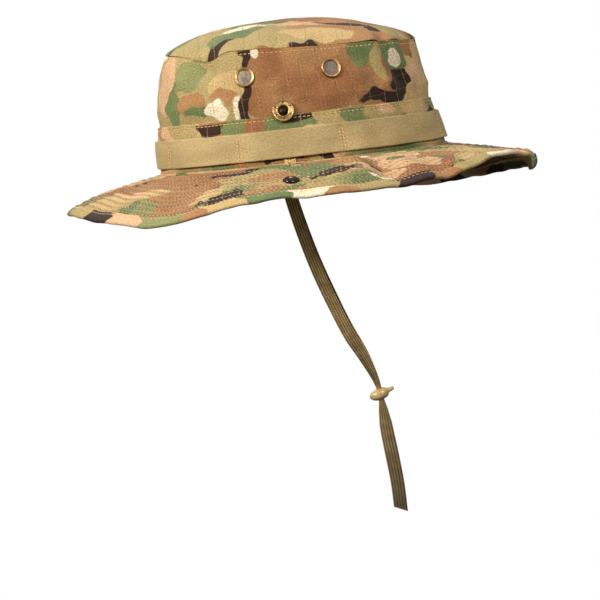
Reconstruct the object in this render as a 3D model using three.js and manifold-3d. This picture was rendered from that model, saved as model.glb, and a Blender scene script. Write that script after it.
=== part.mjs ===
// Boonie hat: soft crown with a domed top, a base strip and a foliage tape round it, a quilted brim
// whose two sides fold up and snap to the crown, mesh eyelets, and a braided chin strap with a slider.
// Millimetres. +X to the front, +Y to the wearer's left, +Z up. The origin is the middle of the head
// opening, in the plane where crown and brim meet.
import * as THREE from "three";
import Module from "manifold-3d";

const wasm = await Module();
wasm.setup();

// ---------------------------------------------------------------- driving dimensions
const BASE_A_FRONT = 105.2; // half length of the crown's base, forwards
const BASE_B = 87; // half width of the crown's base
const FRONT_TAPER = 0.205; // how fast the front wall leans back
const SIDE_TAPER = 0.18; // how fast the side walls lean in
const SEAM_MID = 79.9; // height of the top seam at the sides
const SEAM_FALL = 3.9; // the top seam is higher at the back than at the front
const DOME = 20.5; // rise of the top panel over its seam
const FABRIC = 0.9; // thickness of one ply
const STRIP_TOP = 34.5;
const TAPE_LOW = 4.5;
const TAPE_HIGH = 24.5; // a 20 mm tape
const SWEAT_LOW = -0.2;
const SWEAT_HIGH = 29.5;
const BRIM_ARC = 72; // brim width along the cloth, from the crown
const BIND_W = 10.5; // width of the edge binding
const EYELET_Z = 63.5;
const EYELET_X = [-35, 26];
const EYELET_R = 7.2;
const SNAP_X = -11;
const SOCKET_Z = 37.2;
const SOCKET_R = 7.8;
const STUD_R = 5.8;
const STUD_ARC = 41.6; // the stud's place along the brim, from the crown
const HINGE_Y = 91.3; // fold line of each brim side
const HINGE_Z = 0.35;
const HINGE_GAP = 0.6; // half the clearance along the fold line
const BRAID_W = 10;
const BRAID_T = 1.7;
const GAP = 0.3;
const NSEG = 48; // facets round the crown's layers
const BSEG = 54; // facets round the brim

const rad = (d) => (d * Math.PI) / 180;
const lerp = (a, b, t) => a + (b - a) * t;
const smooth = (a, b, x) => {
  const t = Math.min(1, Math.max(0, (x - a) / (b - a)));
  return t * t * (3 - 2 * t);
};
function table(pairs, x) {
  if (x <= pairs[0][0]) return pairs[0][1];
  for (let i = 1; i < pairs.length; i++)
    if (x <= pairs[i][0])
      return lerp(
        pairs[i - 1][1],
        pairs[i][1],
        (x - pairs[i - 1][0]) / (pairs[i][0] - pairs[i - 1][0]),
      );
  return pairs[pairs.length - 1][1];
}
// A smooth closed table over an angle in degrees, by cosine steps between its entries.
function ringTable(pairs, deg) {
  let d = ((deg % 360) + 360) % 360;
  const n = pairs.length;
  for (let i = 0; i < n; i++) {
    const a = pairs[i],
      b = i + 1 < n ? pairs[i + 1] : [pairs[0][0] + 360, pairs[0][1]];
    if (d >= a[0] && d <= b[0]) {
      const t = (d - a[0]) / (b[0] - a[0]);
      return lerp(a[1], b[1], (1 - Math.cos(Math.PI * t)) / 2);
    }
  }
  return pairs[0][1];
}

// ---------------------------------------------------------------- the crown's outline
// th runs from the front (0) over the wearer's right side (90 degrees, -Y) to the back.
const BACK = [
  [0, 105.2],
  [8, 105.7],
  [24, 105.2],
  [34, 104.1],
  [46, 101.9],
  [61, 98.9],
  [76, 95.2],
  [84, 91.1],
  [90, 87.5],
];
const seamZ = (th) => SEAM_MID - SEAM_FALL * Math.cos(th);
const halfA = (th, z) =>
  Math.cos(th) >= 0 ? BASE_A_FRONT - FRONT_TAPER * z : table(BACK, z);
const halfB = (z) => BASE_B - SIDE_TAPER * z;
// A point of the wall, in by off mm from the outer outline.
function wall(th, z, off) {
  return [
    (halfA(th, z) - off) * Math.cos(th),
    -(halfB(z) - off) * Math.sin(th),
    z,
  ];
}
// The side panel steps in under the strip and the tape.
const PANEL_IN = 2.9;
const PANEL_OUT = 0.5;
const panelOff = (z) => lerp(PANEL_IN, PANEL_OUT, Math.min(1, Math.max(0, (z - 35.2) / 10)));
// The heights of the side panel's rows of facets, from its foot to the top seam.
const panelRows = (th) => [-0.2, 35.2, 45.2, lerp(45.2, seamZ(th), 0.5), seamZ(th)];
// A point of the side panel's faceted wall: row is 0 to 4, in by off mm from its outer face.
function panelAt(th, row, off) {
  const zs = panelRows(th),
    i = Math.min(3, Math.floor(row)),
    f = row - i,
    a = wall(th, zs[i], panelOff(zs[i]) + off),
    b = wall(th, zs[i + 1], panelOff(zs[i + 1]) + off);
  return a.map((v, k) => lerp(v, b[k], f));
}

// ---------------------------------------------------------------- closed meshes from grids
function meshOf(pos, tri) {
  let v = 0;
  for (const [a, b, c] of tri) {
    const A = pos[a],
      B = pos[b],
      C = pos[c];
    v +=
      A[0] * (B[1] * C[2] - B[2] * C[1]) +
      A[1] * (B[2] * C[0] - B[0] * C[2]) +
      A[2] * (B[0] * C[1] - B[1] * C[0]);
  }
  const faces = v < 0 ? tri.map(([a, b, c]) => [a, c, b]) : tri;
  const g = new THREE.BufferGeometry();
  g.setAttribute("position", new THREE.Float32BufferAttribute(pos.flat(), 3));
  g.setIndex(faces.flat());
  return g;
}
// A thin shell between two surfaces; it closes on itself in u when loop is true.
function shell(outer, inner, us, vs, loop) {
  const nu = us.length,
    nv = vs.length,
    pos = [],
    tri = [];
  for (const f of [outer, inner])
    for (let i = 0; i < nu; i++) for (let j = 0; j < nv; j++) pos.push(f(us[i], vs[j]));
  const id = (s, i, j) => s * nu * nv + (i % nu) * nv + j;
  const quad = (a, b, c, d) => tri.push([a, b, c], [a, c, d]);
  const last = loop ? nu : nu - 1;
  for (let i = 0; i < last; i++) {
    for (let j = 0; j < nv - 1; j++) {
      quad(id(0, i, j), id(0, i + 1, j), id(0, i + 1, j + 1), id(0, i, j + 1));
      quad(id(1, i, j), id(1, i, j + 1), id(1, i + 1, j + 1), id(1, i + 1, j));
    }
    quad(id(1, i, 0), id(1, i + 1, 0), id(0, i + 1, 0), id(0, i, 0));
    quad(id(0, i, nv - 1), id(0, i + 1, nv - 1), id(1, i + 1, nv - 1), id(1, i, nv - 1));
  }
  if (!loop)
    for (let j = 0; j < nv - 1; j++) {
      quad(id(0, 0, j), id(0, 0, j + 1), id(1, 0, j + 1), id(1, 0, j));
      quad(id(1, nu - 1, j), id(1, nu - 1, j + 1), id(0, nu - 1, j + 1), id(0, nu - 1, j));
    }
  return meshOf(pos, tri);
}
// A thin dish between two surfaces over a disc; rs runs from just past the middle to the edge.
function dish(top, low, us, rs) {
  const nu = us.length,
    nr = rs.length,
    pos = [top(0, 0), low(0, 0)],
    tri = [];
  for (const f of [top, low])
    for (let i = 0; i < nu; i++) for (let j = 0; j < nr; j++) pos.push(f(us[i], rs[j]));
  const id = (s, i, j) => 2 + s * nu * nr + (i % nu) * nr + j;
  for (let i = 0; i < nu; i++) {
    tri.push([0, id(0, i + 1, 0), id(0, i, 0)]);
    tri.push([1, id(1, i, 0), id(1, i + 1, 0)]);
    for (let j = 0; j < nr - 1; j++) {
      const q = (s, f) => {
        const a = id(s, i, j),
          b = id(s, i + 1, j),
          c = id(s, i + 1, j + 1),
          d = id(s, i, j + 1);
        if (f) tri.push([a, c, b], [a, d, c]);
        else tri.push([a, b, c], [a, c, d]);
      };
      q(0, false);
      q(1, true);
    }
    const a = id(0, i, nr - 1),
      b = id(0, i + 1, nr - 1),
      c = id(1, i + 1, nr - 1),
      d = id(1, i, nr - 1);
    tri.push([a, b, c], [a, c, d]);
  }
  return meshOf(pos, tri);
}
// A section, given as points at each station, swept along stations; it closes on itself when loop is true.
// Sides named in other are split along their other diagonal.
function sweep(sections, loop, other = []) {
  const n = sections.length,
    m = sections[0].length,
    pos = sections.flat(),
    tri = [];
  const id = (i, j) => (i % n) * m + (j % m);
  for (let i = 0; i < (loop ? n : n - 1); i++)
    for (let j = 0; j < m; j++) {
      if (other.includes(j))
        tri.push([id(i, j), id(i + 1, j), id(i, j + 1)], [id(i + 1, j), id(i + 1, j + 1), id(i, j + 1)]);
      else
        tri.push([id(i, j), id(i + 1, j), id(i + 1, j + 1)], [id(i, j), id(i + 1, j + 1), id(i, j + 1)]);
    }
  if (!loop)
    for (let j = 1; j < m - 1; j++) {
      tri.push([id(0, 0), id(0, j), id(0, j + 1)]);
      tri.push([id(n - 1, 0), id(n - 1, j + 1), id(n - 1, j)]);
    }
  return meshOf(pos, tri);
}
const range = (n, a, b) => [...Array(n + 1)].map((_, i) => lerp(a, b, i / n));
const ringSteps = (n) => [...Array(n)].map((_, i) => (i * 2 * Math.PI) / n);

// ---------------------------------------------------------------- booleans
function toSolid(geometry) {
  const g = geometry.index ? geometry.toNonIndexed() : geometry.clone();
  const p = g.getAttribute("position"),
    key = new Map(),
    verts = [],
    tris = [];
  for (let i = 0; i < p.count; i++) {
    const k = [p.getX(i), p.getY(i), p.getZ(i)].map((v) => Math.round(v * 1e4)).join(",");
    if (!key.has(k)) {
      key.set(k, verts.length / 3);
      verts.push(p.getX(i), p.getY(i), p.getZ(i));
    }
    tris.push(key.get(k));
  }
  const kept = [];
  for (let i = 0; i < tris.length; i += 3)
    if (tris[i] !== tris[i + 1] && tris[i + 1] !== tris[i + 2] && tris[i] !== tris[i + 2])
      kept.push(tris[i], tris[i + 1], tris[i + 2]);
  return new wasm.Manifold(
    new wasm.Mesh({
      numProp: 3,
      vertProperties: new Float32Array(verts),
      triVerts: new Uint32Array(kept),
    }),
  );
}
function toGeometry(solid) {
  const m = solid.getMesh(),
    g = new THREE.BufferGeometry(),
    v = new Float32Array((m.vertProperties.length / m.numProp) * 3);
  for (let i = 0; i < v.length / 3; i++)
    for (let k = 0; k < 3; k++) v[i * 3 + k] = m.vertProperties[i * m.numProp + k];
  g.setAttribute("position", new THREE.BufferAttribute(v, 3));
  g.setIndex(new THREE.BufferAttribute(new Uint32Array(m.triVerts), 1));
  return g;
}
const cut = (g, tools) =>
  toGeometry(tools.reduce((s, t) => s.subtract(toSolid(t)), toSolid(g)));
const keep = (g, tool) => toGeometry(toSolid(g).intersect(toSolid(tool)));
function placed(geometry, at, normal) {
  const n = new THREE.Vector3(...normal).normalize(),
    q = new THREE.Quaternion().setFromUnitVectors(new THREE.Vector3(0, 0, 1), n);
  return geometry.applyMatrix4(
    new THREE.Matrix4().compose(new THREE.Vector3(...at), q, new THREE.Vector3(1, 1, 1)),
  );
}
// The same faces, all turned to look out of the body they close.
function outward(g) {
  const p = g.getAttribute("position"),
    ix = [...g.index.array];
  let v = 0;
  for (let i = 0; i < ix.length; i += 3) {
    const [A, B, C] = [0, 1, 2].map((k) => new THREE.Vector3().fromBufferAttribute(p, ix[i + k]));
    v += A.dot(B.cross(C));
  }
  if (v < 0) for (let i = 0; i < ix.length; i += 3) [ix[i], ix[i + 1]] = [ix[i + 1], ix[i]];
  g.setIndex(ix);
  return g;
}
// A turned piece: a closed profile of [radius, height], turned about +Z.
const turned = (profile, n, open = false) =>
  outward(
    new THREE.LatheGeometry(
      (open ? profile : profile.concat([profile[0]])).map(([r, z]) => new THREE.Vector2(r, z)),
      n,
    ).rotateX(Math.PI / 2),
  );
const peg = (r, h, n) => new THREE.CylinderGeometry(r, r, h, n).rotateX(Math.PI / 2);
const block = (lo, hi) =>
  new THREE.BoxGeometry(hi[0] - lo[0], hi[1] - lo[1], hi[2] - lo[2]).translate(
    (lo[0] + hi[0]) / 2,
    (lo[1] + hi[1]) / 2,
    (lo[2] + hi[2]) / 2,
  );

// ---------------------------------------------------------------- the brim's surface
// Straight droop of the cloth at its edge, in mm, and how far the edge curls under, in degrees.
const DROOP = [
  [0, 16], [12, 16], [20, 14], [26, 10], [33, 8], [40, 8], [48, 13], [56, 17.8], [64, 19.6], [75, 18.6], [85, 17.2], [95, 17.8], [105, 20.4], [117, 25], [132, 28.6], [150, 22.2], [165, 17.2], [180, 15.8], [195, 17.6], [210, 21.5], [230, 26], [250, 25], [270, 25], [290, 28], [305, 30], [314, 28], [323, 24.5], [332, 21], [340, 18], [350, 16],
];
const CURL = [
  [0, 104], [12, 100], [19, 62], [26, 8], [33, 0], [60, 0], [120, 0], [150, 8], [180, 16],
  [210, 8], [240, 0], [300, 8], [320, 30], [332, 60], [342, 92], [352, 104],
];
const BRIM_IN = 3.9; // the brim's inner edge runs this far in under the wall
const innerA = (t) => (Math.cos(t) >= 0 ? BASE_A_FRONT : BACK[0][1]) - BRIM_IN;
const innerB = BASE_B - BRIM_IN;
const STEPS = 40;
// A point at arc s from the brim's inner edge, drop mm under the upper surface.
function brim(t, s, drop) {
  const a = innerA(t),
    deg = (t * 180) / Math.PI,
    total = BRIM_ARC + BRIM_IN,
    lean = Math.asin(ringTable(DROOP, deg) / BRIM_ARC),
    curl = rad(ringTable(CURL, deg));
  const nx = Math.cos(t) / a,
    ny = -Math.sin(t) / innerB,
    l = Math.hypot(nx, ny);
  let r = 0,
    z = -0.6,
    ang = 0;
  const slope = (x) => {
    const u = Math.max(0, (x - BRIM_IN) / BRIM_ARC);
    return smooth(0, BRIM_IN + 3, x) * lean * (0.78 + 0.44 * u) + curl * Math.pow(smooth(0.74, 1.06, u), 1.15) * 1.25;
  };
  const n = Math.max(1, Math.round((STEPS * s) / total));
  for (let i = 0; i < n; i++) {
    ang = slope(((i + 0.5) / n) * s);
    r += (Math.cos(ang) * s) / n;
    z -= (Math.sin(ang) * s) / n;
  }
  ang = slope(s);
  r -= drop * Math.sin(ang);
  z -= drop * Math.cos(ang);
  return [a * Math.cos(t) + (nx / l) * r, -innerB * Math.sin(t) + (ny / l) * r, z];
}

// ---------------------------------------------------------------- the parts
const group = new THREE.Group();
group.name = "boonie_hat";
const looks = {
  camo: [0x9a7b52, 0.9, 0],
  camo_dark: [0x7d6340, 0.92, 0],
  tape: [0xb79f72, 0.88, 0],
  lining: [0x8f7f5a, 0.92, 0],
  braid: [0x8d7a4c, 0.85, 0],
  thread: [0xd9bd84, 0.75, 0],
  brass: [0xb08a4a, 0.35, 1],
  black_metal: [0x17130f, 0.3, 1],
  wire: [0x8d8c88, 0.45, 1],
  bead: [0xc9aa72, 0.3, 0],
};
function add(name, geometry, look) {
  const [color, roughness, metalness] = looks[look];
  const mesh = new THREE.Mesh(
    geometry,
    new THREE.MeshStandardMaterial({ color, roughness, metalness }),
  );
  mesh.name = name;
  group.add(mesh);
}

const TH = ringSteps(NSEG);
const domeAt = (th, r, low) => {
  const zs = SEAM_MID - SEAM_FALL * r * Math.cos(th),
    off = panelOff(80) + 0.1,
    z = seamZ(th),
    a = halfA(th, z) - off,
    b = halfB(z) - off,
    k = low * 1.0;
  const rr = r * (1 - (low ? 0.35 / b : 0));
  return [
    a * rr * Math.cos(th),
    -b * rr * Math.sin(th),
    zs + 0.15 + GAP + DOME * Math.pow(Math.max(0, 1 - r * r), 0.75) + FABRIC * 0.9 - k * FABRIC,
  ];
};
add(
  "crown_top",
  dish((t, r) => domeAt(t, r, 0), (t, r) => domeAt(t, r, 1), TH, [0.42, 0.76, 0.93, 1]),
  "camo",
);

// The two side panels meet at the front and the back. Each has holes for its eyelets and its socket.
function wallPoint(side, x, z, off) {
  const th0 = Math.acos(x / (halfA(x >= 0 ? 0 : Math.PI, z) - off));
  return [x, side * (halfB(z) - off) * Math.sin(th0), z];
}
function tools(side) {
  const out = [];
  for (const x of EYELET_X) {
    const n = radialNormal(side, x, EYELET_Z);
    out.push(placed(peg(EYELET_R - 0.9, 12, 12), wallPoint(side, x, EYELET_Z, 0.9), n));
  }
  out.push(socketHole(side));
  return out;
}
const socketHole = (side) =>
  placed(
    peg(3.2, 16, 10),
    wallPoint(side, SNAP_X, SOCKET_Z, 2),
    radialNormal(side, SNAP_X, SOCKET_Z),
  );
function radialNormal(side, x, z) {
  const a = halfA(x >= 0 ? 0 : Math.PI, z) - 1,
    b = halfB(z) - 1,
    y = wallPoint(side, x, z, 1)[1];
  const n = [x / (a * a), y / (b * b)],
    l = Math.hypot(...n);
  return [n[0] / l, n[1] / l, SIDE_TAPER];
}
for (const [name, side] of [
  ["right_side_panel", -1],
  ["left_side_panel", 1],
]) {
  const half = NSEG / 2,
    ts = range(half, 0, Math.PI).map((t, i) => (i === 0 ? 0.0016 : i === half ? Math.PI - 0.0016 : t));
  const at = (off) => (t, row) => panelAt(side < 0 ? t : -t, row, off);
  add(name, cut(shell(at(0), at(FABRIC + 0.1), ts, [0, 1, 2, 3, 4], false), tools(side)), "camo");
}

// Base strip and foliage tape; the tape stands off a little between its stitch lines.
const stripAt = (off) => (t, v) => wall(t, lerp(0, STRIP_TOP, v), off);
add(
  "crown_base_strip",
  cut(
    shell(stripAt(1.7), stripAt(2.6), TH, [0, 1], true),
    [socketHole(-1), socketHole(1)],
  ),
  "camo",
);
const tapeAt = (off) => (t, v) => wall(t, lerp(TAPE_LOW, TAPE_HIGH, v), off);
add("foliage_tape", shell(tapeAt(0.1), tapeAt(1.4), TH, [0, 1], true), "tape");
const sweatAt = (off) => (t, v) => panelAt(t, (v * (SWEAT_HIGH - SWEAT_LOW)) / 35.4, off);
add("sweatband", shell(sweatAt(1.35), sweatAt(2.5), TH, [0, 1], true), "lining");
// Tape that covers the top seam on the inside.
const seamTapeAt = (off) => (t, v) => {
  const tall = (seamZ(t) - 45.2) / 2;
  return panelAt(t, 4 - lerp(8, 1.8, v) / tall, off);
};
add("top_seam_tape", shell(seamTapeAt(1.35), seamTapeAt(2.0), TH, [0, 1], true), "lining");

// The brim: two plies and a binding, each split along the two fold lines.
const BT = ringSteps(BSEG);
const TOTAL = BRIM_ARC + BRIM_IN;
const arcs = [0, 25, 48, TOTAL - BIND_W, TOTAL - 0.9];
const ply = (top, low) =>
  shell((t, s) => brim(t, s, top), (t, s) => brim(t, s, low), BT, arcs, true);
const upper = ply(0, FABRIC),
  lower = ply(FABRIC + GAP, 2 * FABRIC + GAP);
function bindingSections() {
  const w = 0.55,
    t0 = -0.4,
    t1 = 2 * FABRIC + GAP + 0.4,
    s0 = TOTAL - BIND_W;
  // a point past the plies' own last facet, in its plane
  const on = (t, past, drop) => {
    const a = brim(t, s0, drop),
      b = brim(t, TOTAL - 0.9, drop);
    return a.map((v, k) => lerp(v, b[k], 1 + past / (BIND_W - 0.9)));
  };
  return BT.map((t) => [
    brim(t, s0, t0),
    on(t, 0.7, t0),
    on(t, 0.7, t1),
    brim(t, s0, t1),
    brim(t, s0, t1 + w),
    on(t, 1.1, t1 + w),
    on(t, 1.4, (t0 + t1) / 2),
    on(t, 1.1, t0 - w),
    brim(t, s0, t0 - w),
  ]);
}
const binding = sweep(bindingSections(), true, [2, 7]);
const BIG = 400;
const rightSide = block([-BIG, -BIG, -BIG], [BIG, -(HINGE_Y + HINGE_GAP), BIG]);
const leftSide = block([-BIG, HINGE_Y + HINGE_GAP, -BIG], [BIG, BIG, BIG]);
const middle = block([-BIG, -(HINGE_Y - HINGE_GAP), -BIG], [BIG, HINGE_Y - HINGE_GAP, BIG]);
const frontMiddle = block([0, -(HINGE_Y - HINGE_GAP), -BIG], [BIG, HINGE_Y - HINGE_GAP, BIG]);
const backMiddle = block([-BIG, -(HINGE_Y - HINGE_GAP), -BIG], [0, HINGE_Y - HINGE_GAP, BIG]);

// Where the stud sits on the brim, and the direction that its face looks.
function studFrame(side) {
  // the angle of the brim's own parameter where x is SNAP_X at the stud's arc
  let lo = rad(60),
    hi = rad(130);
  for (let i = 0; i < 40; i++) {
    const m = (lo + hi) / 2;
    if (brim(m, STUD_ARC + BRIM_IN, 0)[0] > SNAP_X) lo = m;
    else hi = m;
  }
  const t = side < 0 ? lo : 2 * Math.PI - lo;
  const p = brim(t, STUD_ARC + BRIM_IN, 0),
    q = brim(t, STUD_ARC + BRIM_IN + 4, 0),
    o = brim(t, STUD_ARC + BRIM_IN - 4, 0);
  const d = [0, q[1] - o[1], q[2] - o[2]],
    l = Math.hypot(d[1], d[2]);
  return { at: [SNAP_X, p[1], p[2]], n: [0, (-side * d[2]) / l, Math.abs(d[1]) / l] };
}
const studs = { right: studFrame(-1), left: studFrame(1) };
const studHole = (side) => placed(peg(2.2, 14, 10), studs[side].at, studs[side].n);

add("brim_upper_ply", keep(upper, middle), "camo");
add("brim_lower_ply", keep(lower, middle), "camo_dark");
add("brim_binding_front", keep(binding, frontMiddle), "camo");
add("brim_binding_back", keep(binding, backMiddle.clone().translate(-GAP, 0, 0)), "camo");
for (const [side, box] of [
  ["right", rightSide],
  ["left", leftSide],
]) {
  add(side + "_brim_upper_ply", cut(keep(upper, box), [studHole(side)]), "camo");
  add(side + "_brim_lower_ply", cut(keep(lower, box), [studHole(side)]), "camo_dark");
  add(side + "_brim_binding", keep(binding, box), "camo");
}

// Eyelets: a ring outside, a washer inside and a disc of wire mesh held between them.
for (const [name, side] of [
  ["right", -1],
  ["left", 1],
])
  for (const [where, x] of [
    ["rear", EYELET_X[0]],
    ["front", EYELET_X[1]],
  ]) {
    const n = radialNormal(side, x, EYELET_Z),
      // the panel's outer face here
      at = wallPoint(side, x, EYELET_Z, 0.5);
    add(
      name + "_" + where + "_eyelet_ring",
      placed(
        turned(
          [
            [EYELET_R, 0.4],
            [EYELET_R - 0.5, 1.2],
            [EYELET_R - 1.4, 1.2],
            [EYELET_R - 1.8, 0.6],
            [EYELET_R - 1.8, -2.2],
            [EYELET_R - 1.3, -2.2],
            [EYELET_R - 1.3, 0.4],
          ],
          14,
        ),
        at,
        n,
      ),
      "brass",
    );
    add(
      name + "_" + where + "_eyelet_washer",
      placed(
        turned(
          [
            [EYELET_R - 0.9, -1.5],
            [EYELET_R - 0.9, -2.1],
            [EYELET_R + 0.6, -2.1],
            [EYELET_R + 0.6, -1.5],
          ],
          14,
        ),
        at,
        n,
      ),
      "brass",
    );
    add(
      name + "_" + where + "_eyelet_mesh",
      placed(peg(EYELET_R - 2.15, 0.4, 12), at, n),
      "wire",
    );
  }

// Snap sockets on the crown and studs on the brim sides.
for (const [name, side] of [
  ["right", -1],
  ["left", 1],
]) {
  const n = radialNormal(side, SNAP_X, SOCKET_Z),
    at = wallPoint(side, SNAP_X, SOCKET_Z, 0);
  add(
    name + "_snap_socket",
    placed(
      turned(
        [
          [3.5, 0.9],
          [4.3, 1.5],
          [SOCKET_R - 0.9, 1.1],
          [SOCKET_R, -0.1],
          [3.5, -0.1],
        ],
        20,
      ),
      at,
      n,
    ),
    "brass",
  );
  add(
    name + "_socket_cap",
    placed(
      turned(
        [
          [0, -0.9],
          [2.5, -0.9],
          [2.5, -4.7],
          [5.6, -4.7],
          [5.6, -5.4],
          [0, -5.4],
        ],
        14,
        true,
      ),
      at,
      n,
    ),
    "brass",
  );
  const f = studs[name];
  add(
    name + "_snap_stud",
    placed(
      turned(
        [
          [0, 3.3],
          [1.9, 3.1],
          [2.4, 2.3],
          [1.8, 1.5],
          [STUD_R - 1.6, 1.0],
          [STUD_R, GAP],
          [1.7, GAP],
          [1.7, -3.0],
          [0, -3.0],
        ],
        14,
        true,
      ),
      f.at,
      f.n,
    ),
    "black_metal",
  );
  add(
    name + "_stud_cap",
    placed(
      turned(
        [
          [2.05, -2.8],
          [5.2, -2.8],
          [5.2, -3.3],
          [4.4, -3.6],
          [2.05, -3.6],
        ],
        14,
      ),
      f.at,
      f.n,
    ),
    "black_metal",
  );
  // The bar of thread that tacks the strap's end in the seam.
  add(
    name + "_strap_bartack",
    block(
      [SNAP_X - 2.2, side < 0 ? -(HINGE_Y - 1.1) : BASE_B - 0.1, -0.3 + GAP],
      [SNAP_X + 3.8, side < 0 ? -(BASE_B - 0.1) : HINGE_Y - 1.1, 1.1],
    ),
    "thread",
  );
}

// ---------------------------------------------------------------- chin strap
// Each side's braid runs from the seam to the slider, and on down beside the other to the sewn end.
const ROUTE = [
  [-15, 76.3, 1.5],
  [-14.7, 76.3, -5],
  [-13.6, 76.2, -16],
  [-11, 75.6, -28],
  [-5, 71.2, -53],
  [2.5, 63.2, -78],
  [10.8, 51.5, -103],
  [19.6, 37.5, -128],
  [27.3, 22.5, -146],
  [32.6, 8.6, -161],
  [35.2, 1.7, -170],
  [36.3, 1.3, -176.5],
  [36.75, 1.2, -183],
  [38.0, 1.2, -203],
  [39.3, 1.2, -223],
  [40.6, 1.2, -243],
  [41.8, 1.2, -262.6],
];
function strand(side) {
  const pts = ROUTE.map(([x, y, z]) => new THREE.Vector3(x, side * y, z));
  const sections = pts.map((p, i) => {
    const a = pts[Math.max(0, i - 1)],
      b = pts[Math.min(pts.length - 1, i + 1)],
      t = b.clone().sub(a).normalize();
    // thin across Y, wide across the run
    const thin = new THREE.Vector3(0, 1, 0).addScaledVector(t, -t.y).normalize();
    const wide = new THREE.Vector3().crossVectors(t, thin).normalize();
    const w = BRAID_W / 2,
      h = BRAID_T / 2;
    return [
      [w, h * 0.5],
      [w * 0.86, h],
      [-w * 0.86, h],
      [-w, h * 0.5],
      [-w, -h * 0.5],
      [-w * 0.86, -h],
      [w * 0.86, -h],
      [w, -h * 0.5],
    ].map(([u, v]) =>
      p.clone().addScaledVector(wide, u).addScaledVector(thin, v).toArray(),
    );
  });
  return sweep(sections, false);
}
add("right_strap", strand(-1), "braid");
add("left_strap", strand(1), "braid");
// The stitched end of the braid, flat against the sweatband's lower edge.
add("right_strap_tab", block([-20, -78.3, -7], [-10, -77.45, 6]), "braid");
add("left_strap_tab", block([-20, 77.45, -7], [-10, 78.3, 6]), "braid");

// The slider: an egg-shaped bead with a short tongue, and a slot that both braids run through.
{
  const c = [36.3, 0, -176.5],
    dir = new THREE.Vector3(5.5, 0, -86.1).normalize();
  const egg = new THREE.SphereGeometry(1, 16, 10);
  const p = egg.getAttribute("position");
  for (let i = 0; i < p.count; i++) {
    const x = p.getX(i),
      y = p.getY(i),
      z = p.getZ(i);
    const fat = 1 - 0.12 * x;
    p.setXYZ(i, x * 8.0, y * 5.6 * fat, z * 5.0 * fat);
  }
  const tongue = new THREE.CylinderGeometry(1.25, 1.9, 8.4, 8).rotateZ(-Math.PI / 2);
  const slot = block([-5.6, -2.55, -9], [5.6, 2.55, 9]);
  let s = toSolid(egg.rotateY(rad(-14)).translate(-0.2, 0, 0)).add(
    toSolid(tongue.scale(1, 1.15, 0.8).rotateY(rad(-14)).translate(9.6, 0, 2.6)),
  );
  s = s.subtract(toSolid(slot.rotateY(-Math.atan2(dir.x, -dir.z))));
  add("strap_slider", toGeometry(s).translate(...c), "bead");
}

export default group;
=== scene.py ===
"""Boonie hat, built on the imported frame: cloth, seams, stitching, brim, eyelets, snaps and chin strap."""
import math

import bpy
import numpy as np
from mathutils import Matrix, Vector


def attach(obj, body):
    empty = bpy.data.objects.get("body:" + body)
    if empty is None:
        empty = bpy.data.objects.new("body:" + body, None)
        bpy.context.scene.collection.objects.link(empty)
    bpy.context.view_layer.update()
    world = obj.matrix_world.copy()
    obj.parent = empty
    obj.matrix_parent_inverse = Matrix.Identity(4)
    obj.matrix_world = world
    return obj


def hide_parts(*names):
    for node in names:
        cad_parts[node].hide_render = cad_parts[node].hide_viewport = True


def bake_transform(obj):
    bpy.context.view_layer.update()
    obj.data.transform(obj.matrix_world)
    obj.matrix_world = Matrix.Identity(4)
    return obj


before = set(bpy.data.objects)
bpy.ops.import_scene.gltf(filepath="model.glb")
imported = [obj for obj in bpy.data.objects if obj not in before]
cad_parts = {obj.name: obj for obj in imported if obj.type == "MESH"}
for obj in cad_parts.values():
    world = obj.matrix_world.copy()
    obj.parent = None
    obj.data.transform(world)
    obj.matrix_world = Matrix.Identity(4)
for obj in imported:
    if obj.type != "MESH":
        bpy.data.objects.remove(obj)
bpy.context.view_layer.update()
MM = 0.001

# ------------------------------------------------------------------ camera, light, floor
SCENE = bpy.context.scene
SCENE.view_settings.view_transform = "Standard"
SCENE.view_settings.look = "None"

ROLL = math.radians(-6.5)
TARGET = Vector((-0.0143, 0.0, -0.1017))
ELEV = math.radians(4.4)
DIST = 2.2
back = Vector((0.0, -math.cos(ELEV), math.sin(ELEV)))
cam_data = bpy.data.cameras.new("camera")
cam_data.sensor_width = 36.0
cam_data.lens = 36.0 * DIST * 1375.0 / 600.0
cam_data.clip_start, cam_data.clip_end = 0.05, 40.0
cam = bpy.data.objects.new("camera", cam_data)
SCENE.collection.objects.link(cam)
cam.location = TARGET + back * DIST
q = (-back).to_track_quat("-Z", "Y")
cam.rotation_mode = "QUATERNION"
cam.rotation_quaternion = q @ Matrix.Rotation(ROLL, 3, "Z").to_quaternion()
SCENE.camera = cam


def lin(c):
    """sRGB 0-255 to linear."""
    out = []
    for x in c:
        x = x / 255.0
        out.append(x / 12.92 if x <= 0.04045 else ((x + 0.055) / 1.055) ** 2.4)
    return tuple(out) + (1.0,)


def area(name, loc, target, size, power, color=(1, 1, 1)):
    d = bpy.data.lights.new(name, "AREA")
    d.shape = "DISK"
    d.size = size
    d.energy = power
    d.color = color
    o = bpy.data.objects.new(name, d)
    SCENE.collection.objects.link(o)
    o.location = loc
    o.rotation_mode = "QUATERNION"
    o.rotation_quaternion = (Vector(target) - Vector(loc)).to_track_quat("-Z", "Y")
    return o


area("key", (-1.75, -1.15, 1.15), (0.0, 0.0, 0.02), 0.42, 56.0, (1.0, 0.985, 0.95))
area("fill", (0.75, -1.75, 1.25), (0.0, 0.0, 0.0), 0.9, 24.0, (0.98, 0.99, 1.0))
area("rim", (-0.6, 1.5, 1.1), (0.0, 0.0, 0.05), 1.0, 9.0)

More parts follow.
